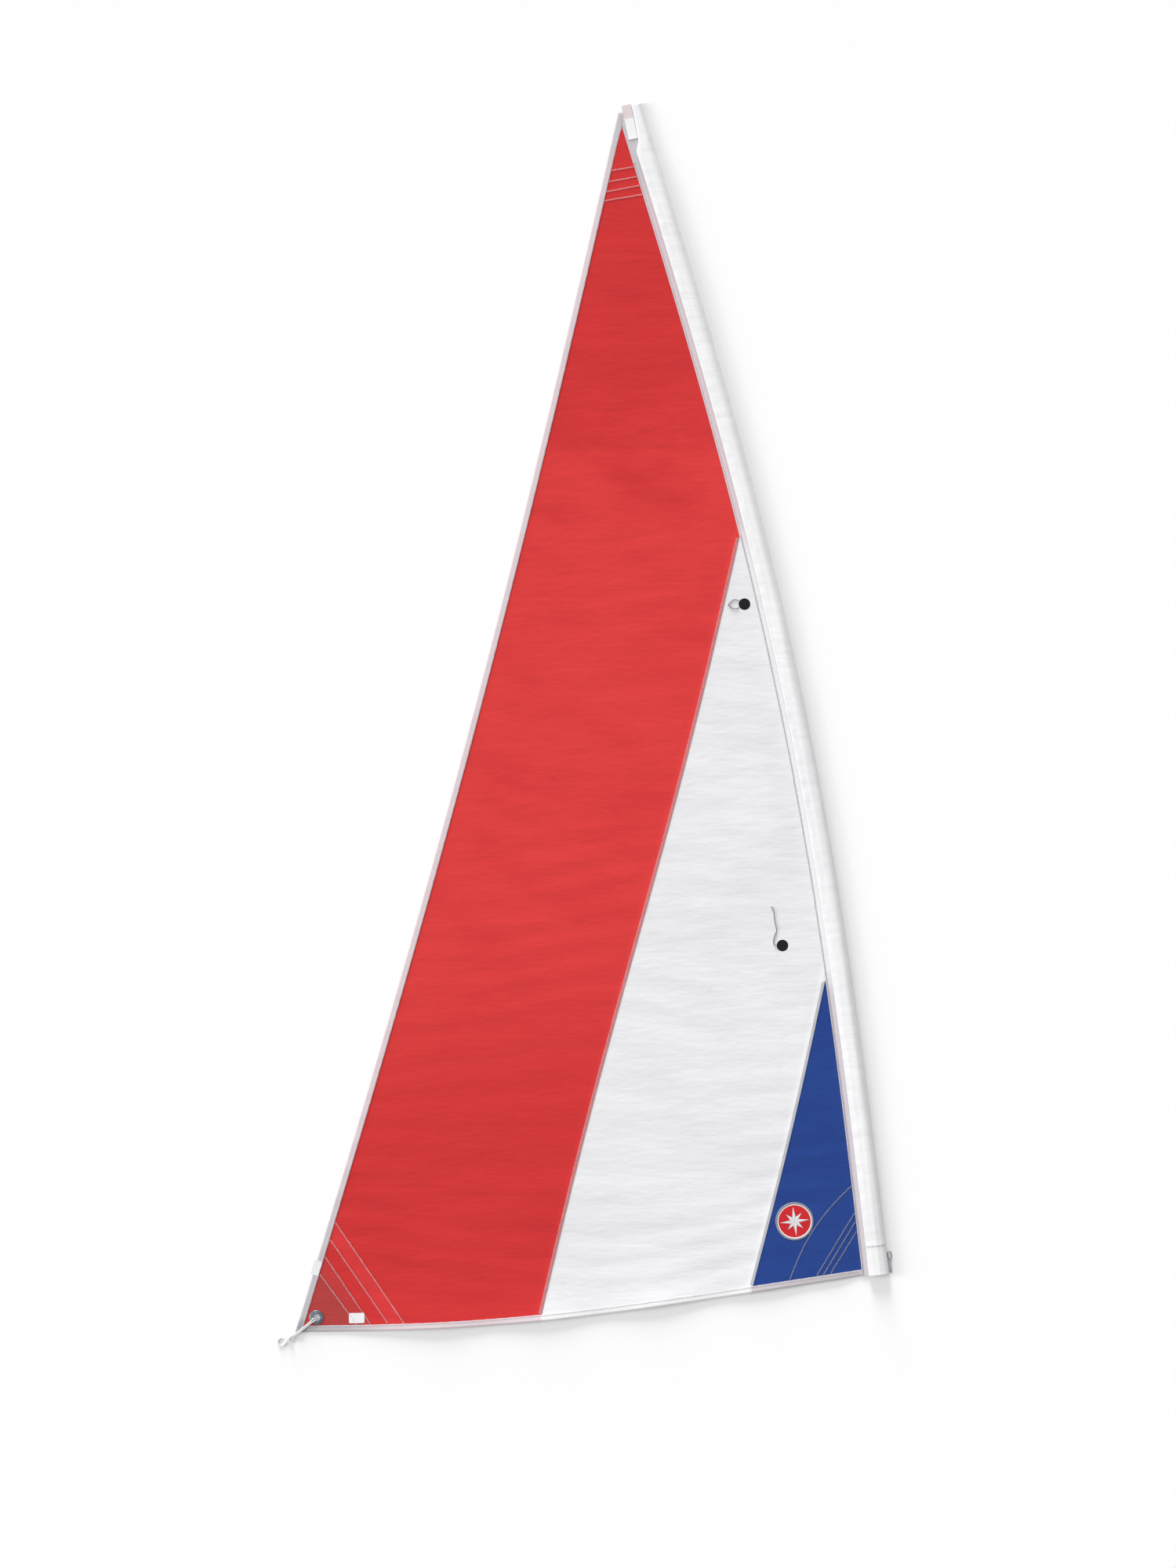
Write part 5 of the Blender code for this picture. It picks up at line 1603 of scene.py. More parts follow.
    def lining(self, name: str, heights: Sequence[float], thickness: float, finish: Finish,
               replaces: str) -> None:
        """Line the tube, leaving it open through its middle or, without a thickness, filling it.

        Args:
            name: Name of the piece.
            heights: Heights of its sections.
            thickness: Its thickness, or 0 for a filled one.
            finish: Its finish.
            replaces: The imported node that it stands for.
        """
        base = self.shop.plan.panel_base
        outer, inner = [], []
        for height in heights:
            for rings, depth in ((outer, 0.0), (inner, thickness)):
                line = self.arch(height, self.cloth + GAP + depth, depth)
                points = [(across, level - self.lining_clearance) for across, level in line]
                points[0] = (points[0][0], max(points[0][1], base + depth))
                rings.append(self.placed(height, points + [(points[-1][0], base + depth)]))
        shape = Shape()
        if thickness:
            for rings in (outer, inner, (outer[0], inner[0]), (outer[-1], inner[-1])):
                shape.grid(rings, closed=True)
        else:
            shape.prism(outer)
        self.shop.piece(name, shape, finish, [replaces])

    @property
    def cap_low(self) -> float:
        """Height at which the cap meets the strap."""
        return self.shop.plan.luff_length - self.cap_length

    @property
    def strap_low(self) -> float:
        """Height of the strap's lower end."""
        return self.cap_low - self.strap_length

    @property
    def strap_right(self) -> float:
        """Place across the sail of the strap's edge beside the tube."""
        plan = self.shop.plan
        heights = self.stations(self.strap_low, plan.luff_length, (plan.luff_length - self.strap_low) / 5)
        return min(plan.luff.point(h, plan.tube_width(h) + self.strap_clearance).real for h in heights)

    @property
    def strap_level(self) -> float:
        """Underside of the strap and of the cap's upper flap."""
        return self.shop.plan.luff_flap(self.shop.plan.luff_length) + self.cloth + GAP

    def strap(self) -> None:
        """Lay the white strap on the flange below the head."""
        low, right = self.strap_low, self.strap_right
        rows = []
        for step in range(25):
            height = mix(low, self.cap_low - GAP, step / 24)
            level = self.strap_level + self.strap_end * exp(-(height - low) / 0.012)
            rows.append([at(complex(right - self.strap_width * share / 10, height),
                            level + self.strap_cloth * (1.0 + 0.35 * sin(pi * share / 10)))
                         for share in range(11)])
        item = self.shop.piece("head_strap_webbing", cloth_over(rows, self.strap_cloth), Finish.WEBBING,
                               ["head_strap"])

    def cap(self) -> None:
        """Fold the cap over the flange's end."""
        middle = self.strap_level + self.strap_cloth / 2
        bend = (middle - self.strap_cloth) / 2
        reach = self.cap_length + self.cap_overhang - bend
        path = [(self.cap_length * step / 10, middle) for step in range(11)]
        path += [(reach + bend * cos(turn), middle - bend + bend * sin(turn))
                 for turn in (pi * (0.5 - step / 10) for step in range(11))]
        path.append((self.cap_length + 2 * GAP, self.strap_cloth))
        sides: list[list[Pair]] = [[], []]
        for index, place in enumerate(path):
            before = path[max(0, index - 1)]
            after = path[min(len(path) - 1, index + 1)]
            way = complex(after[0] - before[0], after[1] - before[1])
            offset = way / abs(way) * 0.5j * self.strap_cloth
            for side, sign in zip(sides, (1, -1)):
                side.append((place[0] + sign * offset.real, place[1] + sign * offset.imag))
        profile = sides[0] + sides[1][::-1]
        origin = complex(self.strap_right, self.cap_low)
        rings = [[at(origin + 1j * (run + 1j * self.strap_width * share / 8), height)
                  for run, height in profile] for share in range(9)]
        self.shop.piece("head_cap_tape", solid(rings), Finish.CAP, ["head_cap"])

    def build(self) -> None:
        """Build the sleeve and what is sewn to its head."""
        self.port_side()
        self.starboard_side()
        self.lining("sleeve_cuff_cloth", self.stations(0.0, self.cuff_height, 0.01), self.cuff_cloth,
                    Finish.SLEEVE_CLOTH, "sleeve_cuff")
        top = self.shop.plan.luff_length - self.closure_setback
        self.lining("sleeve_head_plug", (top - self.closure_depth, top - self.closure_depth / 2, top), 0.0,
                    Finish.WEBBING, "sleeve_head_closure")
        self.strap()
        self.cap()


@dataclass
class Stitching:
    """Rows of thread that hold the cloths, the tapes and the patches."""

    shop: Workshop
    thread: float = 0.0007
    pitch: float = 0.0036
    width: float = 0.0050
    tape_margin: float = 0.0012
    seam_margin: float = 0.0006
    lap_margin: float = 0.0028
    flange_margin: float = 0.0016
    leech_ends: Pair = (0.10, 0.020)
    foot_end: float = 0.034
    seam_starts: Pair = (0.006, 0.010)
    seam_end: float = 0.004
    tape_crown: float = 0.0001
    flange_crown: float = 0.0010
    flange_parts: int = 6
    flange_top: float = 0.20
    cuff_offsets: Pair = (0.002, 0.005)

    def row(self, shape: Shape, edge: Edge, runs: Pair, inset: float,
            level: Callable[[float, complex], float]) -> None:
        """Sew one row of zigzag.

        Args:
            shape: The shape that takes the thread.
            edge: The edge or seam that the row follows.
            runs: Distances along the edge where the row starts and ends.
            inset: Distance to the left of the edge.
            level: Height of the cloth at a run and a place.
        """
        count = max(2, round(2 * (runs[1] - runs[0]) / self.pitch))
        path = []
        for step in range(count + 1):
            run = mix(runs[0], runs[1], step / count)
            place = edge.point(run, inset + (self.width / 2 if step % 2 else -self.width / 2))
            path.append(at(place, level(run, place) + self.thread * 0.7))
        shape.tube(path, self.thread, 4)

    def sew(self, name: str, finish: Finish, rows: Sequence[tuple]) -> None:
        """Sew rows of one thread as one piece."""
        shape = Shape()
        for row in rows:
            self.row(shape, *row)
        self.shop.piece(name, shape, finish)

    def bare_run(self, edge: Edge, inset: float) -> Pair:
        """Find where a row beside an edge comes out from under a tape or the flange, and where it goes back.

        Args:
            edge: The edge.
            inset: Distance to the left of it.

        Returns:
            Both runs along the edge.
        """
        plan = self.shop.plan
        spare = self.width / 2 + 0.0005

        def bare(run: float) -> bool:
            """Whether the row lies clear of the tapes and the flange."""
            place = edge.point(run, inset)
            height, depth = plan.luff.locate(place)
            tapes = min(plan.leech.locate(place)[1], plan.foot.locate(place)[1]) - plan.tape_width
            return min(tapes, depth - plan.sleeve_width(height)) > spare

        runs = [run for run in (edge.span * step / 400 for step in range(401)) if bare(run)]
        return runs[0], runs[-1]

    def patch_rows(self, corner: Corner) -> list[tuple]:
        """Rows along the inner edges of a corner's patches."""
        plan = self.shop.plan
        patches = CornerPatches(self.shop)
        rows = []
        for index in range(len(plan.patches(corner))):
            edge = patches.rim(corner, index)
            if corner is Corner.HEAD:
                edge = Edge(edge.end, edge.start, ())
            top = plan.panel_top + (index + 1) * plan.patch_pitch
            inset = -0.7 * self.width
            rows.append((edge, self.bare_run(edge, inset), inset,
                         lambda run, place, top=top: top + plan.lift(place)))
        return rows

    def build(self) -> None:
        """Sew everything."""
        plan = self.shop.plan
        tape = plan.tape_width

        def tape_level(flap: Callable[[float], float], edge: Edge) -> Callable[[float, complex], float]:
            """Upper face of a tape, as a function of the run and the place."""
            return lambda run, place: (flap(run) + plan.cloth + self.tape_crown
                                       + plan.lift(edge.point(run, 0.020)))

        def flange_level(run: float, place: complex) -> float:
            """Upper face of the flange."""
            return plan.luff_flap(run) + self.flange_crown

        def lap_level(run: float, place: complex) -> float:
            """Upper face of a panel at its lap."""
            return plan.lap_top + plan.lift(place)

        leech, foot, luff = plan.leech, plan.foot, plan.luff
        inner = tape - self.width / 2 - self.tape_margin
        self.sew("leech_tape_stitching", Finish.WHITE_THREAD, [
            (leech, (self.leech_ends[0], leech.span - self.leech_ends[1]), inner,
             tape_level(plan.leech_flap, leech))])
        self.sew("foot_tape_stitching", Finish.WHITE_THREAD, [
            (foot, (self.foot_end, foot.span - self.foot_end), inner, tape_level(plan.foot_flap, foot))])
        rows: list[tuple] = []
        for seam in (plan.red_seam, plan.blue_seam):
            for start, inset in zip(self.seam_starts, (-self.width / 2 - self.seam_margin,
                                                       -plan.lap_width + self.lap_margin)):
                rows.append((seam, (start, seam.span - tape - self.seam_end), inset, lap_level))
        self.sew("red_seam_stitching", Finish.WHITE_THREAD, rows[:2])
        self.sew("blue_seam_stitching", Finish.GREY_THREAD, rows[2:])
        red_foot, head = plan.red_seam_height, plan.luff_length - self.flange_top
        for name, finish, low, high in (("flange_stitching_lower", Finish.GREY_THREAD, 0.004, red_foot),
                                        ("flange_stitching_upper", Finish.WHITE_THREAD, red_foot, head)):
            rows = []
            for part in range(self.flange_parts):
                first, last = (mix(low, high, share / self.flange_parts) for share in (part, part + 1))
                inset = (plan.sleeve_width(first) + plan.sleeve_width(last) - self.width) / 2
                rows.append((luff, (first, last), inset - self.flange_margin, flange_level))
            self.sew(name, finish, rows)
        for corner in Corner:
            finish = Finish.GREY_THREAD if corner is Corner.TACK else Finish.PALE_THREAD
            self.sew(f"{corner.value}_patch_stitching", finish, self.patch_rows(corner))
        self.cuff_rows()

    def cuff_rows(self) -> None:
        """Two rows of thread round the sleeve, where the cuff's facing is sewn in."""
        sleeve = MastSleeve(self.shop)
        shape = Shape()
        for offset in self.cuff_offsets:
            height = sleeve.cuff_height - offset
            line = sleeve.placed(height, sleeve.arch(height)[1:-1])
            shape.tube([(x, y, z + self.thread * 0.5) for x, y, z in line], self.thread, 5)
        self.shop.piece("cuff_stitching", shape, Finish.GREY_THREAD)


@dataclass
class Eyelet:
    """Clew's eyelet: a ring on the patches and a liner through all the layers."""

    shop: Workshop
    eye_radius: float = 0.0135
    wall: float = 0.0010
    ring_radius: float = 0.027
    ring_height: float = 0.0026
    shoulder_share: float = 0.42
    edge_share: float = 0.22
    bore_bevel: tuple[Pair, ...] = ((0.0022, 0.0), (0.0008, 0.0002), (0.0, 0.0006))
    lip_rise: float = 0.0012
    lip_reach: float = 0.004
    lip_edge: float = 0.0006
    back_reach: float = 0.006
    back_height: float = 0.0005
    steps: int = 96

    @property
    def hole(self) -> float:
        """Radius of the hole through the cloth."""
        return self.eye_radius + self.wall + GAP

    @property
    def base(self) -> float:
        """Underside of the ring."""
        return self.shop.plan.patches_top + GAP

    @property
    def lip_top(self) -> float:
        """Top of the liner."""
        return self.base + self.ring_height + GAP + self.lip_rise

    def build(self) -> None:
        """Build the ring and the liner."""
        self.ring()
        self.liner()

    def ring(self) -> None:
        """Build the ring on the patches."""
        base, top = self.base, self.base + self.ring_height
        shoulder = self.ring_radius - self.hole
        section = [(self.hole, base), (self.ring_radius, base)]
        for step in range(7):
            turn = pi / 2 * step / 6
            section.append((self.ring_radius - self.shoulder_share * shoulder * (1 - cos(turn)),
                            base + self.ring_height * mix(self.edge_share, 1.0, sin(turn))))
        section += [(self.hole + reach, top - drop) for reach, drop in self.bore_bevel]
        self.shop.piece("clew_eye_ring", turned_ring(section, self.shop.plan.eye, self.steps), Finish.METAL,
                        ("clew_ring",))

    def liner(self) -> None:
        """Build the liner, which is turned out over the ring."""
        outer = self.eye_radius + self.wall
        lip = self.base + self.ring_height + GAP
        rim = outer + self.lip_reach
        section = [(self.eye_radius, 0.0), (outer + self.back_reach, 0.0),
                   (outer + self.back_reach, self.back_height), (outer, self.back_height),
                   (outer, lip), (rim, lip), (rim, lip + self.lip_edge)]
        for step in range(1, 7):
            turn = pi * step / 7
            section.append((mix(rim, self.eye_radius, (1 - cos(turn)) / 2),
                            mix(lip + self.lip_edge, self.lip_top, sin(turn))))
        section.append((self.eye_radius, lip + self.lip_edge / 2))
        self.shop.piece("clew_eye_liner", turned_ring(section, self.shop.plan.eye, self.steps), Finish.METAL,
                        ("clew_liner",))


@dataclass
class ClewCord:
    """Lashing through the clew's eye, and the knotted loop that hangs from it outside the corner."""

    shop: Workshop
    eyelet: Eyelet
    diameter: float = 0.0044
    half_spacing: float = 0.0026
    corner_offset: complex = complex(0.0012, -0.0095)
    loop_turn: float = 195.5
    knot_start: float = 0.0195
    knot_end: float = 0.0325
    knot_middle: float = 0.0067
    knot_half_width: float = 0.0096
    knot_half_height: float = 0.0064
    knot_turns: int = 3
    knot_steps: int = 150
    core_radius: float = 0.0040
    core_setback: float = 0.0012
    lay_pitch: float = 0.013
    strands: int = 4
    sides: int = 16
    spacing: float = 0.0011
    tail_spacing: float = 0.0006
    lashing_rise: float = 0.0005
    loop_rise: float = 0.0004

    @property
    def corner_exit(self) -> complex:
        """Place outside the corner where the lashing ends and the loop begins."""
        return self.shop.plan.leech.end + self.corner_offset

    @property
    def heading(self) -> complex:
        """Direction in which the loop lies."""
        return spoke(radians(self.loop_turn))

    @property
    def floor(self) -> float:
        """Height of the loop's middle line where it lies lowest."""
        return self.diameter / 2 + self.loop_rise

    def laid(self, run: float, turn: float) -> float:
        """Radius of a cord of twisted strands."""
        phase = self.strands * (turn + tau * run / (self.lay_pitch * self.strands))
        return self.diameter / 2 * (0.93 + 0.07 * abs(cos(phase / 2)))

    def doubled(self, strand: Sequence[Point], middle: Sequence[Point] = ()) -> list[Point]:
        """Route that runs out along a strand and back along its mirror image."""
        back = [(run, -side, level) for run, side, level in reversed(strand)]
        return [*strand, *middle, *back]

    def outside(self, route: Sequence[Point]) -> list[Point]:
        """Route that starts at the corner, set in place."""
        return place_route(route, self.corner_exit, self.heading)

    def cord(self, name: str, node: str, path: Sequence[Point]) -> Piece:
        """Piece of laid cord along a path."""
        shape = Shape()
        shape.tube(path, self.laid, self.sides)
        return self.shop.piece(name, shape, Finish.CORD, (node,))

    def lashing(self) -> None:
        """Build the doubled cord through the eye and over the corner."""
        plan, side = self.shop.plan, self.half_spacing
        radius, eye = self.diameter / 2, self.eyelet.eye_radius
        reach = abs(self.corner_exit - plan.eye)
        floor = radius + self.lashing_rise
        tape = plan.flap_base(4) + plan.cloth + GAP + radius
        rim = self.eyelet.base + self.eyelet.ring_height + 2 * GAP + radius
        lip = self.eyelet.lip_top + 3 * GAP + radius
        strand = [
            (reach, side, floor), (reach - 0.0035, side, floor + 0.0005),
            (reach - 0.0065, side, floor + 0.0024), (reach - 0.0110, side, tape + 0.0004),
            (reach - 0.018, side, tape + 0.0009),
            (reach - 0.030, side, tape + 0.0005), (reach - 0.045, side, tape + 0.0005),
            (0.039, side, tape + 0.0009), (0.030, side, rim + 0.0004), (0.022, side + 0.0008, rim + 0.0012),
            (eye + 0.0035, side + 0.0014, lip + 0.0002), (eye + 0.0002, side + 0.0018, lip - 0.0001),
            (eye - 0.0024, side + 0.0020, lip - 0.0019), (eye - 0.0033, side + 0.0020, lip - 0.0044),
            (eye - 0.0036, side + 0.0018, lip - 0.0064), (eye - 0.0041, side + 0.0004, lip - 0.0078)]
        route = self.doubled(strand, [(eye - 0.0043, 0.0, lip - 0.0081)])
        route = place_route(route, plan.eye, (self.corner_exit - plan.eye) / reach)
        self.cord("clew_lashing_cord", "clew_lashing", smooth_route(route, self.spacing))

    def loop(self) -> tuple[Piece, list[Point]]:
        """Build the loop outside the corner.

        Returns:
            The piece, and its path.
        """
        side, floor, middle = self.half_spacing, self.floor, self.knot_middle
        strand = [
            (5 * GAP, side, floor), (0.008, side, floor + 0.0009), (0.014, side, middle - 0.0016),
            (self.knot_start, side, middle), (self.knot_end, side, middle),
            (0.0380, side + 0.0018, middle - 0.0014), (0.046, 0.0090, floor + 0.0010),
            (0.054, 0.0132, floor), (0.063, 0.0142, floor), (0.0705, 0.0105, floor), (0.0738, 0.0040, floor)]
        path = smooth_route(self.outside(self.doubled(strand)), self.spacing)
        return self.cord("clew_loop_cord", "clew_loop", path), path

    def knot(self) -> Piece:
        """Build the knot: turns of the cord round the two strands, drawn tight."""
        radius = self.diameter / 2
        half_width, half_height = self.knot_half_width - radius, self.knot_half_height - radius
        route = []
        for step in range(self.knot_steps + 1):
            share = step / self.knot_steps
            turn = tau * self.knot_turns * share
            swell = 0.80 + 0.20 * sin(pi * share)
            run = mix(self.knot_start + radius, self.knot_end - radius, share)
            route.append((run + 0.0016 * sin(turn + 0.6), half_width * swell * cos(turn),
                          self.knot_middle + half_height * swell * sin(turn)))
        start, end = self.knot_start + self.core_setback, self.knot_end - self.core_setback
        core = [(mix(start, end, step / 6), 0.0, self.knot_middle) for step in range(7)]
        shape = Shape()
        shape.tube(self.outside(route), self.laid, self.sides)
        shape.tube(self.outside(core), self.core_radius, self.sides)
        return self.shop.piece("clew_loop_knot_cord", shape, Finish.CORD, ("clew_loop_knot",))

    def tail(self) -> Piece:
        """Build the short end of the cord that leaves the knot."""
        start = self.knot_half_width + 2 * GAP
        route = [(0.026, start, self.knot_middle), (0.0261, start + 0.0034, self.knot_middle - 0.0001),
                 (0.0275, start + 0.0090, self.floor + 0.0006)]
        return self.cord("clew_loop_end", "clew_loop_tail",
                         smooth_route(self.outside(route), self.tail_spacing))

    def build(self) -> None:
        """Build the lashing, the loop, its knot and its end."""
        self.lashing()
        loop, path = self.loop()
        with_pieces = [self.knot(), self.tail()]
        log.info("clew loop is %.4f m long", path_length(path))


@dataclass
class TackStrap:
    """Webbing strap at the foot end of the sleeve and the ring in its fold."""

    shop: Workshop
    height: float = 0.030
    cloth: float = 0.0010
    width: float = 0.012
    length: float = 0.060
    start: float = 0.002
    back: float = 0.046
    descent: float = 0.012
    wire: float = 0.0028
    rest_height: float = 0.0005
    edge_share: float = 0.72
    fold_clearance: float = 0.0014
    notch_depth: float = 0.006
    notch_clearance: float = 0.0022
    ring_offset: float = 0.0087
    ring_width: float = 0.0174
    ring_length: float = 0.023
    ring_corner: float = 0.0022
    ring_sides: int = 20

    def build(self) -> None:
        """Build the strap and its ring."""
        luff = self.shop.plan.luff
        heading = luff.heading(self.height)
        origin = luff.point(self.height, -GAP) - heading * self.height
        bend = self.fold_clearance + GAP + self.rest_height
        hinge, upper = self.rest_height + bend, self.cloth + GAP + self.rest_height
        middle = [(mix(self.start, self.length - bend, step / 24), self.rest_height) for step in range(25)]
        for step in range(1, 12):
            turn = pi * step / 12
            middle.append((self.length + bend * sin(turn), hinge - bend * cos(turn)))
        for step in range(9):
            share = step / 8
            middle.append((self.length - self.descent * share, mix(hinge + bend, upper, ease(share))))
        middle.append((self.length - self.back, upper))
        self.strap(origin, heading, middle)
        self.ring(origin, heading, hinge)

    def strap(self, origin: complex, heading: complex, middle: Sequence[Pair]) -> None:
        """Build the strap, notched on its inner side where the ring passes.

        Args:
            origin: Place where its runs start.
            heading: Direction in which it lies.
            middle: Runs and heights along its middle.
        """
        notch_width = self.wire + self.notch_clearance + GAP
        rings = []
        for index, (run, level) in enumerate(middle):
            before, after = middle[max(0, index - 1)], middle[min(len(middle) - 1, index + 1)]
            tangent = complex(after[0] - before[0], after[1] - before[1])
            normal = 1j * tangent / abs(tangent) * self.cloth / 2
            inner = notch_width if run > self.length - self.notch_depth else 0.0
            ring = []
            for share, sign in ((0.0, -1), (0.12, -1), (0.5, -1), (0.88, -1), (1.0, -1),
                                (1.0, 1), (0.88, 1), (0.5, 1), (0.12, 1), (0.0, 1)):
                edge = self.edge_share if share in (0.0, 1.0) else 1.0
                reach = complex(run, level) + sign * normal * edge
                across = mix(inner, self.width, share)
                ring.append(at(origin + heading * (reach.real - 1j * across), reach.imag))
            rings.append(ring)
        item = self.shop.piece("tack_webbing_strap", solid(rings), Finish.GREY_WEBBING, ("tack_webbing",),
                               sharp=60.0)
        self.length + self.back
        self.width * (self.length + self.back)

    def ring(self, origin: complex, heading: complex, hinge: float) -> None:
        """Build the ring, straight in the fold of the strap and round beyond it.

        Args:
            origin: Place where the strap's runs start.
            heading: Direction in which the strap lies.
            hinge: Height about which the ring tilts.
        """
        pivot = origin + heading * (self.length - 1j * self.ring_offset)
        half, corner = (self.ring_width - self.wire) / 2, self.ring_corner
        bow = self.ring_length - self.wire - half
        middle = corner + 1j * (half - corner)
        outline = [1j * (corner - half), *arc(middle, corner, pi, -pi / 2, 6),
                   *arc(bow, half, pi / 2, -pi, 18)[1:],
                   *arc(middle.conjugate(), corner, -pi / 2, -pi / 2, 6)[:-1]]
        path = [at(pivot + heading * place, hinge) for place in outline]
        shape = Shape()
        shape.tube(path, self.wire / 2, self.ring_sides, closed=True)
        self.shop.piece("tack_ring_wire", shape, Finish.METAL, ("tack_ring",), body="tack_ring")


@dataclass
class Trim:
    """Tell-tales, round badge and blank labels."""

    shop: Workshop
    cloth: float = 0.0004
    disc_radius: float = 0.0215
    disc_steps: int = 64
    yarn_diameter: float = 0.0028
    yarn_sides: int = 14
    yarn_spacing: float = 0.0008
    twist_pitch: float = 0.0062
    badge_height: float = 0.234
    badge_inset: float = 0.328
    badge_radius: float = 0.0715
    badge_rim: float = 0.0078
    badge_ring: float = 0.0036
    rim_lap: float = 0.0008
    rim_height: float = 0.0015
    rim_ridges: int = 200
    badge_steps: int = 96
    long_point: float = 0.0545
    short_point: float = 0.0400
    waist: float = 0.0165
    rose_edge: float = 0.00015
    rose_ridge: float = 0.0005
    label_corner: float = 0.004
    leech_label_reach: float = 0.253
    leech_label_inset: float = 0.007
    leech_label_size: Pair = (0.056, 0.030)
    foot_label_reach: float = 0.2303
    foot_label_inset: float = 0.0495
    foot_label_size: Pair = (0.058, 0.038)

    @property
    def base(self) -> float:
        """Underside of what lies on the panels."""
        return self.shop.plan.panel_top + GAP

    @property
    def badge_centre(self) -> complex:
        """Middle of the badge."""
        return self.shop.plan.luff.point(self.badge_height, self.badge_inset)

    def over(self, place: complex, level: float) -> Point:
        """Point over a place, lifted with the cloth under it."""
        return at(place, level + self.shop.plan.lift(place))

    def disc(self, name: str, centre: complex, level: float) -> None:
        """Lay a round patch of black cloth.

        Args:
            name: What it belongs to and its side of the sail.
            centre: Its centre.
            level: Its underside.
        """
        rows = [[self.over(centre + share * way, level + self.cloth * rise)
                 for share, rise in ((0.0, 1.0), (0.5, 1.0), (0.93, 1.0), (1.0, 0.7))]
                for way in arc(0j, self.disc_radius, 0.0, tau, self.disc_steps)]
        item = self.shop.piece(f"{name}_patch", cloth_over(rows, self.cloth * 0.6), Finish.DISC,
                               (f"{name}_disc",))
        size = 2 * self.disc_radius
        pi * self.disc_radius ** 2

    def telltale(self, name: str, place: Pair, route: Sequence[Pair]) -> None:
        """Build discs on both sides of the cloth, and the yarn that swings about the edge of the port one.

        Args:
            name: Name of the tell-tale.
            place: Height and inset of the discs.
            route: Places of the yarn's bends, counted from the discs.
        """
        plan = self.shop.plan
        centre = plan.luff.point(*place)
        self.disc(f"{name}_port", centre, self.base)
        self.disc(f"{name}_starboard", centre, plan.panel_base - GAP - self.cloth)
        level = max(self.base + self.cloth, plan.lap_top) + GAP + self.yarn_diameter / 2
        path = smooth_route([at(centre + complex(x, y), level) for x, y in route], self.yarn_spacing)
        length = path_length(path)

        def ply(run: float, turn: float) -> float:
            """Radius of the twisted wool, thinner at its ends."""
            end = min(1.0, 0.45 + min(run, length - run) / 0.0012)
            winding = turn + tau * run / self.twist_pitch
            fuzz = 0.06 * noise.noise(Vector((run * 900.0, turn * 2.0, 3.0)))
            return self.yarn_diameter / 2 * end * (0.84 + 0.16 * abs(cos(winding)) + fuzz)

        shape = Shape()
        shape.tube(path, ply, self.yarn_sides)
        item = self.shop.piece(f"{name}_wool", shape, Finish.YARN, (f"{name}_yarn",), body=name)
        log.info("%s yarn is %.4f m long", name, length)

    def badge_field(self) -> None:
        """Build the red cloth of the badge and the pale ring round it."""
        inner_rim = self.badge_radius - self.badge_rim
        field_radius = inner_rim - self.badge_ring
        radii = [field_radius * step / 6 for step in range(7)] + [inner_rim + self.rim_lap]
        rows = [[self.over(self.badge_centre + radius * way, self.base + self.cloth) for radius in radii]
                for way in arc(0j, 1.0, 0.0, tau, self.badge_steps)]
        shape = cloth_over(rows, self.cloth, [0] * 6 + [1])
        item = self.shop.piece("compass_badge_field", shape, (Finish.BADGE_RED, Finish.LABEL),
                               ("compass_badge",))
        2 * inner_rim
        2 * inner_rim
        pi * inner_rim ** 2

    def badge_edging(self) -> None:
        """Build the ridged grey rim of the badge."""
        rows = []
        count = self.rim_ridges * 3
        for step in range(count + 1):
            way = spoke(tau * (step % count) / count)
            ridge = 1.0 + (0.16 if step % 3 == 0 else -0.10)
            row = []
            for share in range(8):
                angle = pi * share / 7
                radius = self.badge_radius - self.badge_rim / 2 * (1 + 0.96 * cos(angle) * ridge ** 0.3)
                level = self.base + self.rim_height * sin(angle) * ridge
                row.append(self.over(self.badge_centre + radius * way, level))
            rows.append(row)
        shape = Shape()
        shape.grid(rows, closed=True)
        self.shop.piece("compass_badge_rim", shape, Finish.BADGE_GREY)

    def badge_rose(self) -> None:
        """Build eight points of a compass rose, each with a light and a shaded half."""
        shape = Shape()
        north = self.shop.plan.luff.heading(self.badge_height)
        centre, level = self.badge_centre, self.base + self.cloth
        side = spoke(pi / 8) * self.waist
        for index in range(8):
            reach = self.long_point if index % 2 == 0 else self.short_point
            way = north * spoke(pi * index / 4)
            rows = []
            for step in range(11):
                run = reach * step / 10
                half = side.imag * min(run / side.real, (reach - run) / (reach - side.real))
                rows.append([self.over(centre + way * complex(run, half), level + self.rose_edge),
                             self.over(centre + way * run, level + self.rose_ridge),
                             self.over(centre + way * complex(run, -half), level + self.rose_edge)])
            shape.grid(rows, (0, 1))
        self.shop.piece("compass_badge_rose", shape, (Finish.LABEL, Finish.BADGE_SHADE), sharp=20.0)

    def label(self, node: str, edge: Edge, place: Pair, size: Pair,
              level: float, least_inset: float) -> None:
        """Lay a blank label with rounded corners, square to an edge.

        Args:
            node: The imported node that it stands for.
            edge: The edge.
            place: Run and inset of its middle.
            size: Its size along the edge and across it.
            level: Its underside over flat cloth.
            least_inset: Inset up to which it lifts with the cloth, outside which it lies as there.
        """
        run, inset = place
        heading = edge.heading(run)
        middle = edge.point(run, inset)
        half = complex(size[0], size[1]) / 2
        radius = self.label_corner
        outline = []
        for quarter, (right, up) in enumerate(((1, 1), (-1, 1), (-1, -1), (1, -1))):
            corner = complex(right * (half.real - radius), up * (half.imag - radius))
            outline += arc(corner, radius, quarter * pi / 2, pi / 2, 4)

        def placed(offset: complex, share: float) -> Point:
            """Point of the label at a share of the way to its outline."""
            spot = middle + heading * offset * share
            rise = self.shop.plan.lift(edge.point(run + offset.real * share,
                                                  max(least_inset, inset + offset.imag * share)))
            return at(spot, level + self.cloth + rise)

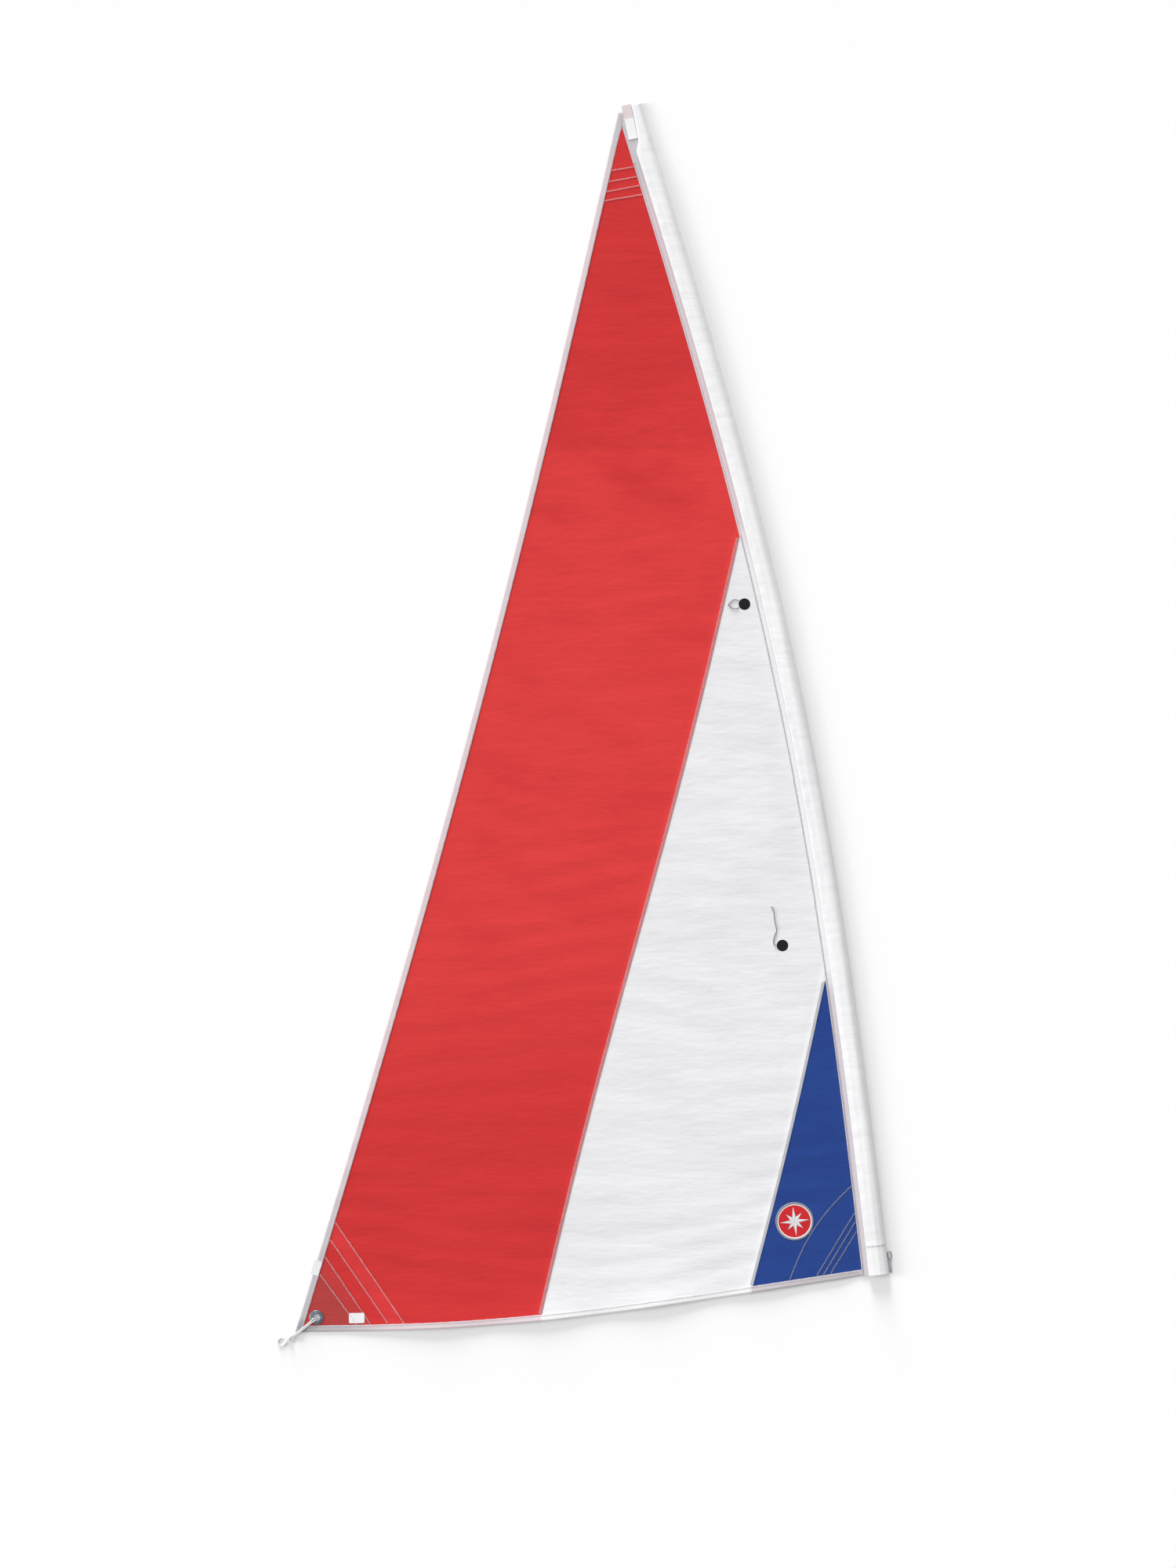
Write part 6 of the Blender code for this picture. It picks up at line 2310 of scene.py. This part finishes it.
        rows = [[placed(offset, share) for share in (0.0, 0.35, 0.7, 1.0)] for offset in outline]
        shape = cloth_over([*rows, rows[0]], self.cloth)
        item = self.shop.piece(f"{node}_cloth", shape, Finish.LABEL, (node,))
        size[0] * size[1]

    def build(self) -> None:
        """Build the trim."""
        plan = self.shop.plan
        self.telltale("telltale_upper", plan.upper_disc, (
            (-0.0163, 0.0130), (-0.0240, 0.0195), (-0.0354, 0.0240), (-0.0501, 0.0181), (-0.0592, 0.0102),
            (-0.0540, -0.0005), (-0.0425, -0.0099), (-0.0300, -0.0100), (-0.0225, -0.0072)))
        self.telltale("telltale_lower", plan.lower_disc, (
            (-0.0196, 0.0009), (-0.0262, 0.0050), (-0.0298, 0.0112), (-0.0291, 0.0253), (-0.0207, 0.0424),
            (-0.0098, 0.0600), (-0.0091, 0.0774), (-0.0088, 0.1040), (-0.0059, 0.1249), (-0.0075, 0.1411),
            (-0.0114, 0.1512)))
        self.badge_field()
        self.badge_edging()
        self.badge_rose()
        self.label("leech_label", plan.leech,
                   (plan.leech.span - self.leech_label_reach, self.leech_label_inset),
                   self.leech_label_size, plan.flap_base(4) + plan.cloth + GAP, plan.fold_inset)
        self.label("measurement_label", plan.foot, (self.foot_label_reach, self.foot_label_inset),
                   self.foot_label_size, plan.patches_top + GAP, 0.0)


@dataclass(frozen=True)
class Softbox:
    """Distant soft lamp, its turn counted from the picture's right towards its top."""

    name: str
    turn: float
    elevation: float
    spread: float
    share: float

    def build(self) -> None:
        """Hang the lamp so that it gives its share of the light on the floor."""
        lift = spoke(radians(self.elevation))
        lamp = bpy.data.lights.new(self.name, "SUN")
        lamp.angle = radians(self.spread)
        lamp.energy = pi * self.share / lift.imag
        item = bpy.data.objects.new(self.name, lamp)
        towards = -1j * PICTURE_UP * spoke(radians(self.turn)) * lift.real
        direction = Vector((towards.real, towards.imag, lift.imag))
        item.rotation_euler = direction.to_track_quat("Z", "Y").to_euler()
        item.location = direction * 5.0
        bpy.context.collection.objects.link(item)


@dataclass
class Studio:
    """Plain pale floor, soft light from the left and the top of the picture, and the camera above."""

    target: complex = complex(-0.722, 2.022)
    frame_height: float = 5.86
    camera_height: float = 24.0
    camera_reach: float = 200.0
    sensor: float = 36.0
    floor_size: float = 120.0
    world_strength: float = 0.50
    lamps: tuple[Softbox, ...] = (Softbox("left_softbox", 178.0, 24.0, 40.0, 0.17),
                                  Softbox("low_left_softbox", 178.0, 16.0, 12.0, 0.09),
                                  Softbox("top_softbox", 102.0, 11.0, 19.0, 0.25))

    def build(self) -> None:
        """Build the floor, the light and the camera."""
        self.floor()
        self.light()
        self.camera()
        log.info("studio: floor, light and camera stand")

    def floor(self) -> None:
        """Lay the floor."""
        half = self.floor_size / 2
        mesh = bpy.data.meshes.new("studio_floor")
        corners = [(-half, -half, 0.0), (half, -half, 0.0), (half, half, 0.0), (-half, half, 0.0)]
        mesh.from_pydata(corners, [], [(0, 1, 2, 3)])
        mesh.materials.append(FloorFinish().make("studio_floor"))
        floor = bpy.data.objects.new("studio_floor", mesh)
        bpy.context.collection.objects.link(floor)

    def light(self) -> None:
        """Light the world and hang the lamps."""
        world = bpy.data.worlds.new("studio_world")
        world.use_nodes = True
        background = world.node_tree.nodes["Background"]
        background.inputs["Color"].default_value = (1.0, 1.0, 1.0, 1.0)
        background.inputs["Strength"].default_value = self.world_strength
        bpy.context.scene.world = world
        bpy.context.scene.view_settings.view_transform = "Standard"
        for lamp in self.lamps:
            lamp.build()

    def camera(self) -> None:
        """Hang the camera over the sail, turned as in the picture."""
        data = bpy.data.cameras.new("camera")
        data.sensor_fit = "VERTICAL"
        data.sensor_height = self.sensor
        data.lens = self.sensor * self.camera_height / self.frame_height
        data.clip_end = self.camera_reach
        item = bpy.data.objects.new("camera", data)
        item.location = at(self.target, self.camera_height)
        item.rotation_euler = (0.0, 0.0, atan2(PICTURE_UP.imag, PICTURE_UP.real) - pi / 2)
        bpy.context.collection.objects.link(item)
        bpy.context.scene.camera = item


def main() -> None:
    """Build the sail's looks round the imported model."""
    logging.basicConfig(level=logging.INFO, format="%(name)s %(message)s")
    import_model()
    Studio().build()
    plan = SailPlan()
    shop = Workshop(plan, make_finishes(plan))
    red = Panels(shop).build()
    patches = CornerPatches(shop).build()
    EdgeTapes(shop).build()
    MastSleeve(shop).build()
    Stitching(shop).build()
    eyelet = Eyelet(shop)
    shop.cut_eye([red, *patches], eyelet.hole)
    eyelet.build()
    ClewCord(shop, eyelet).build()
    TackStrap(shop).build()
    Trim(shop).build()


if __name__ == "__main__":
    main()
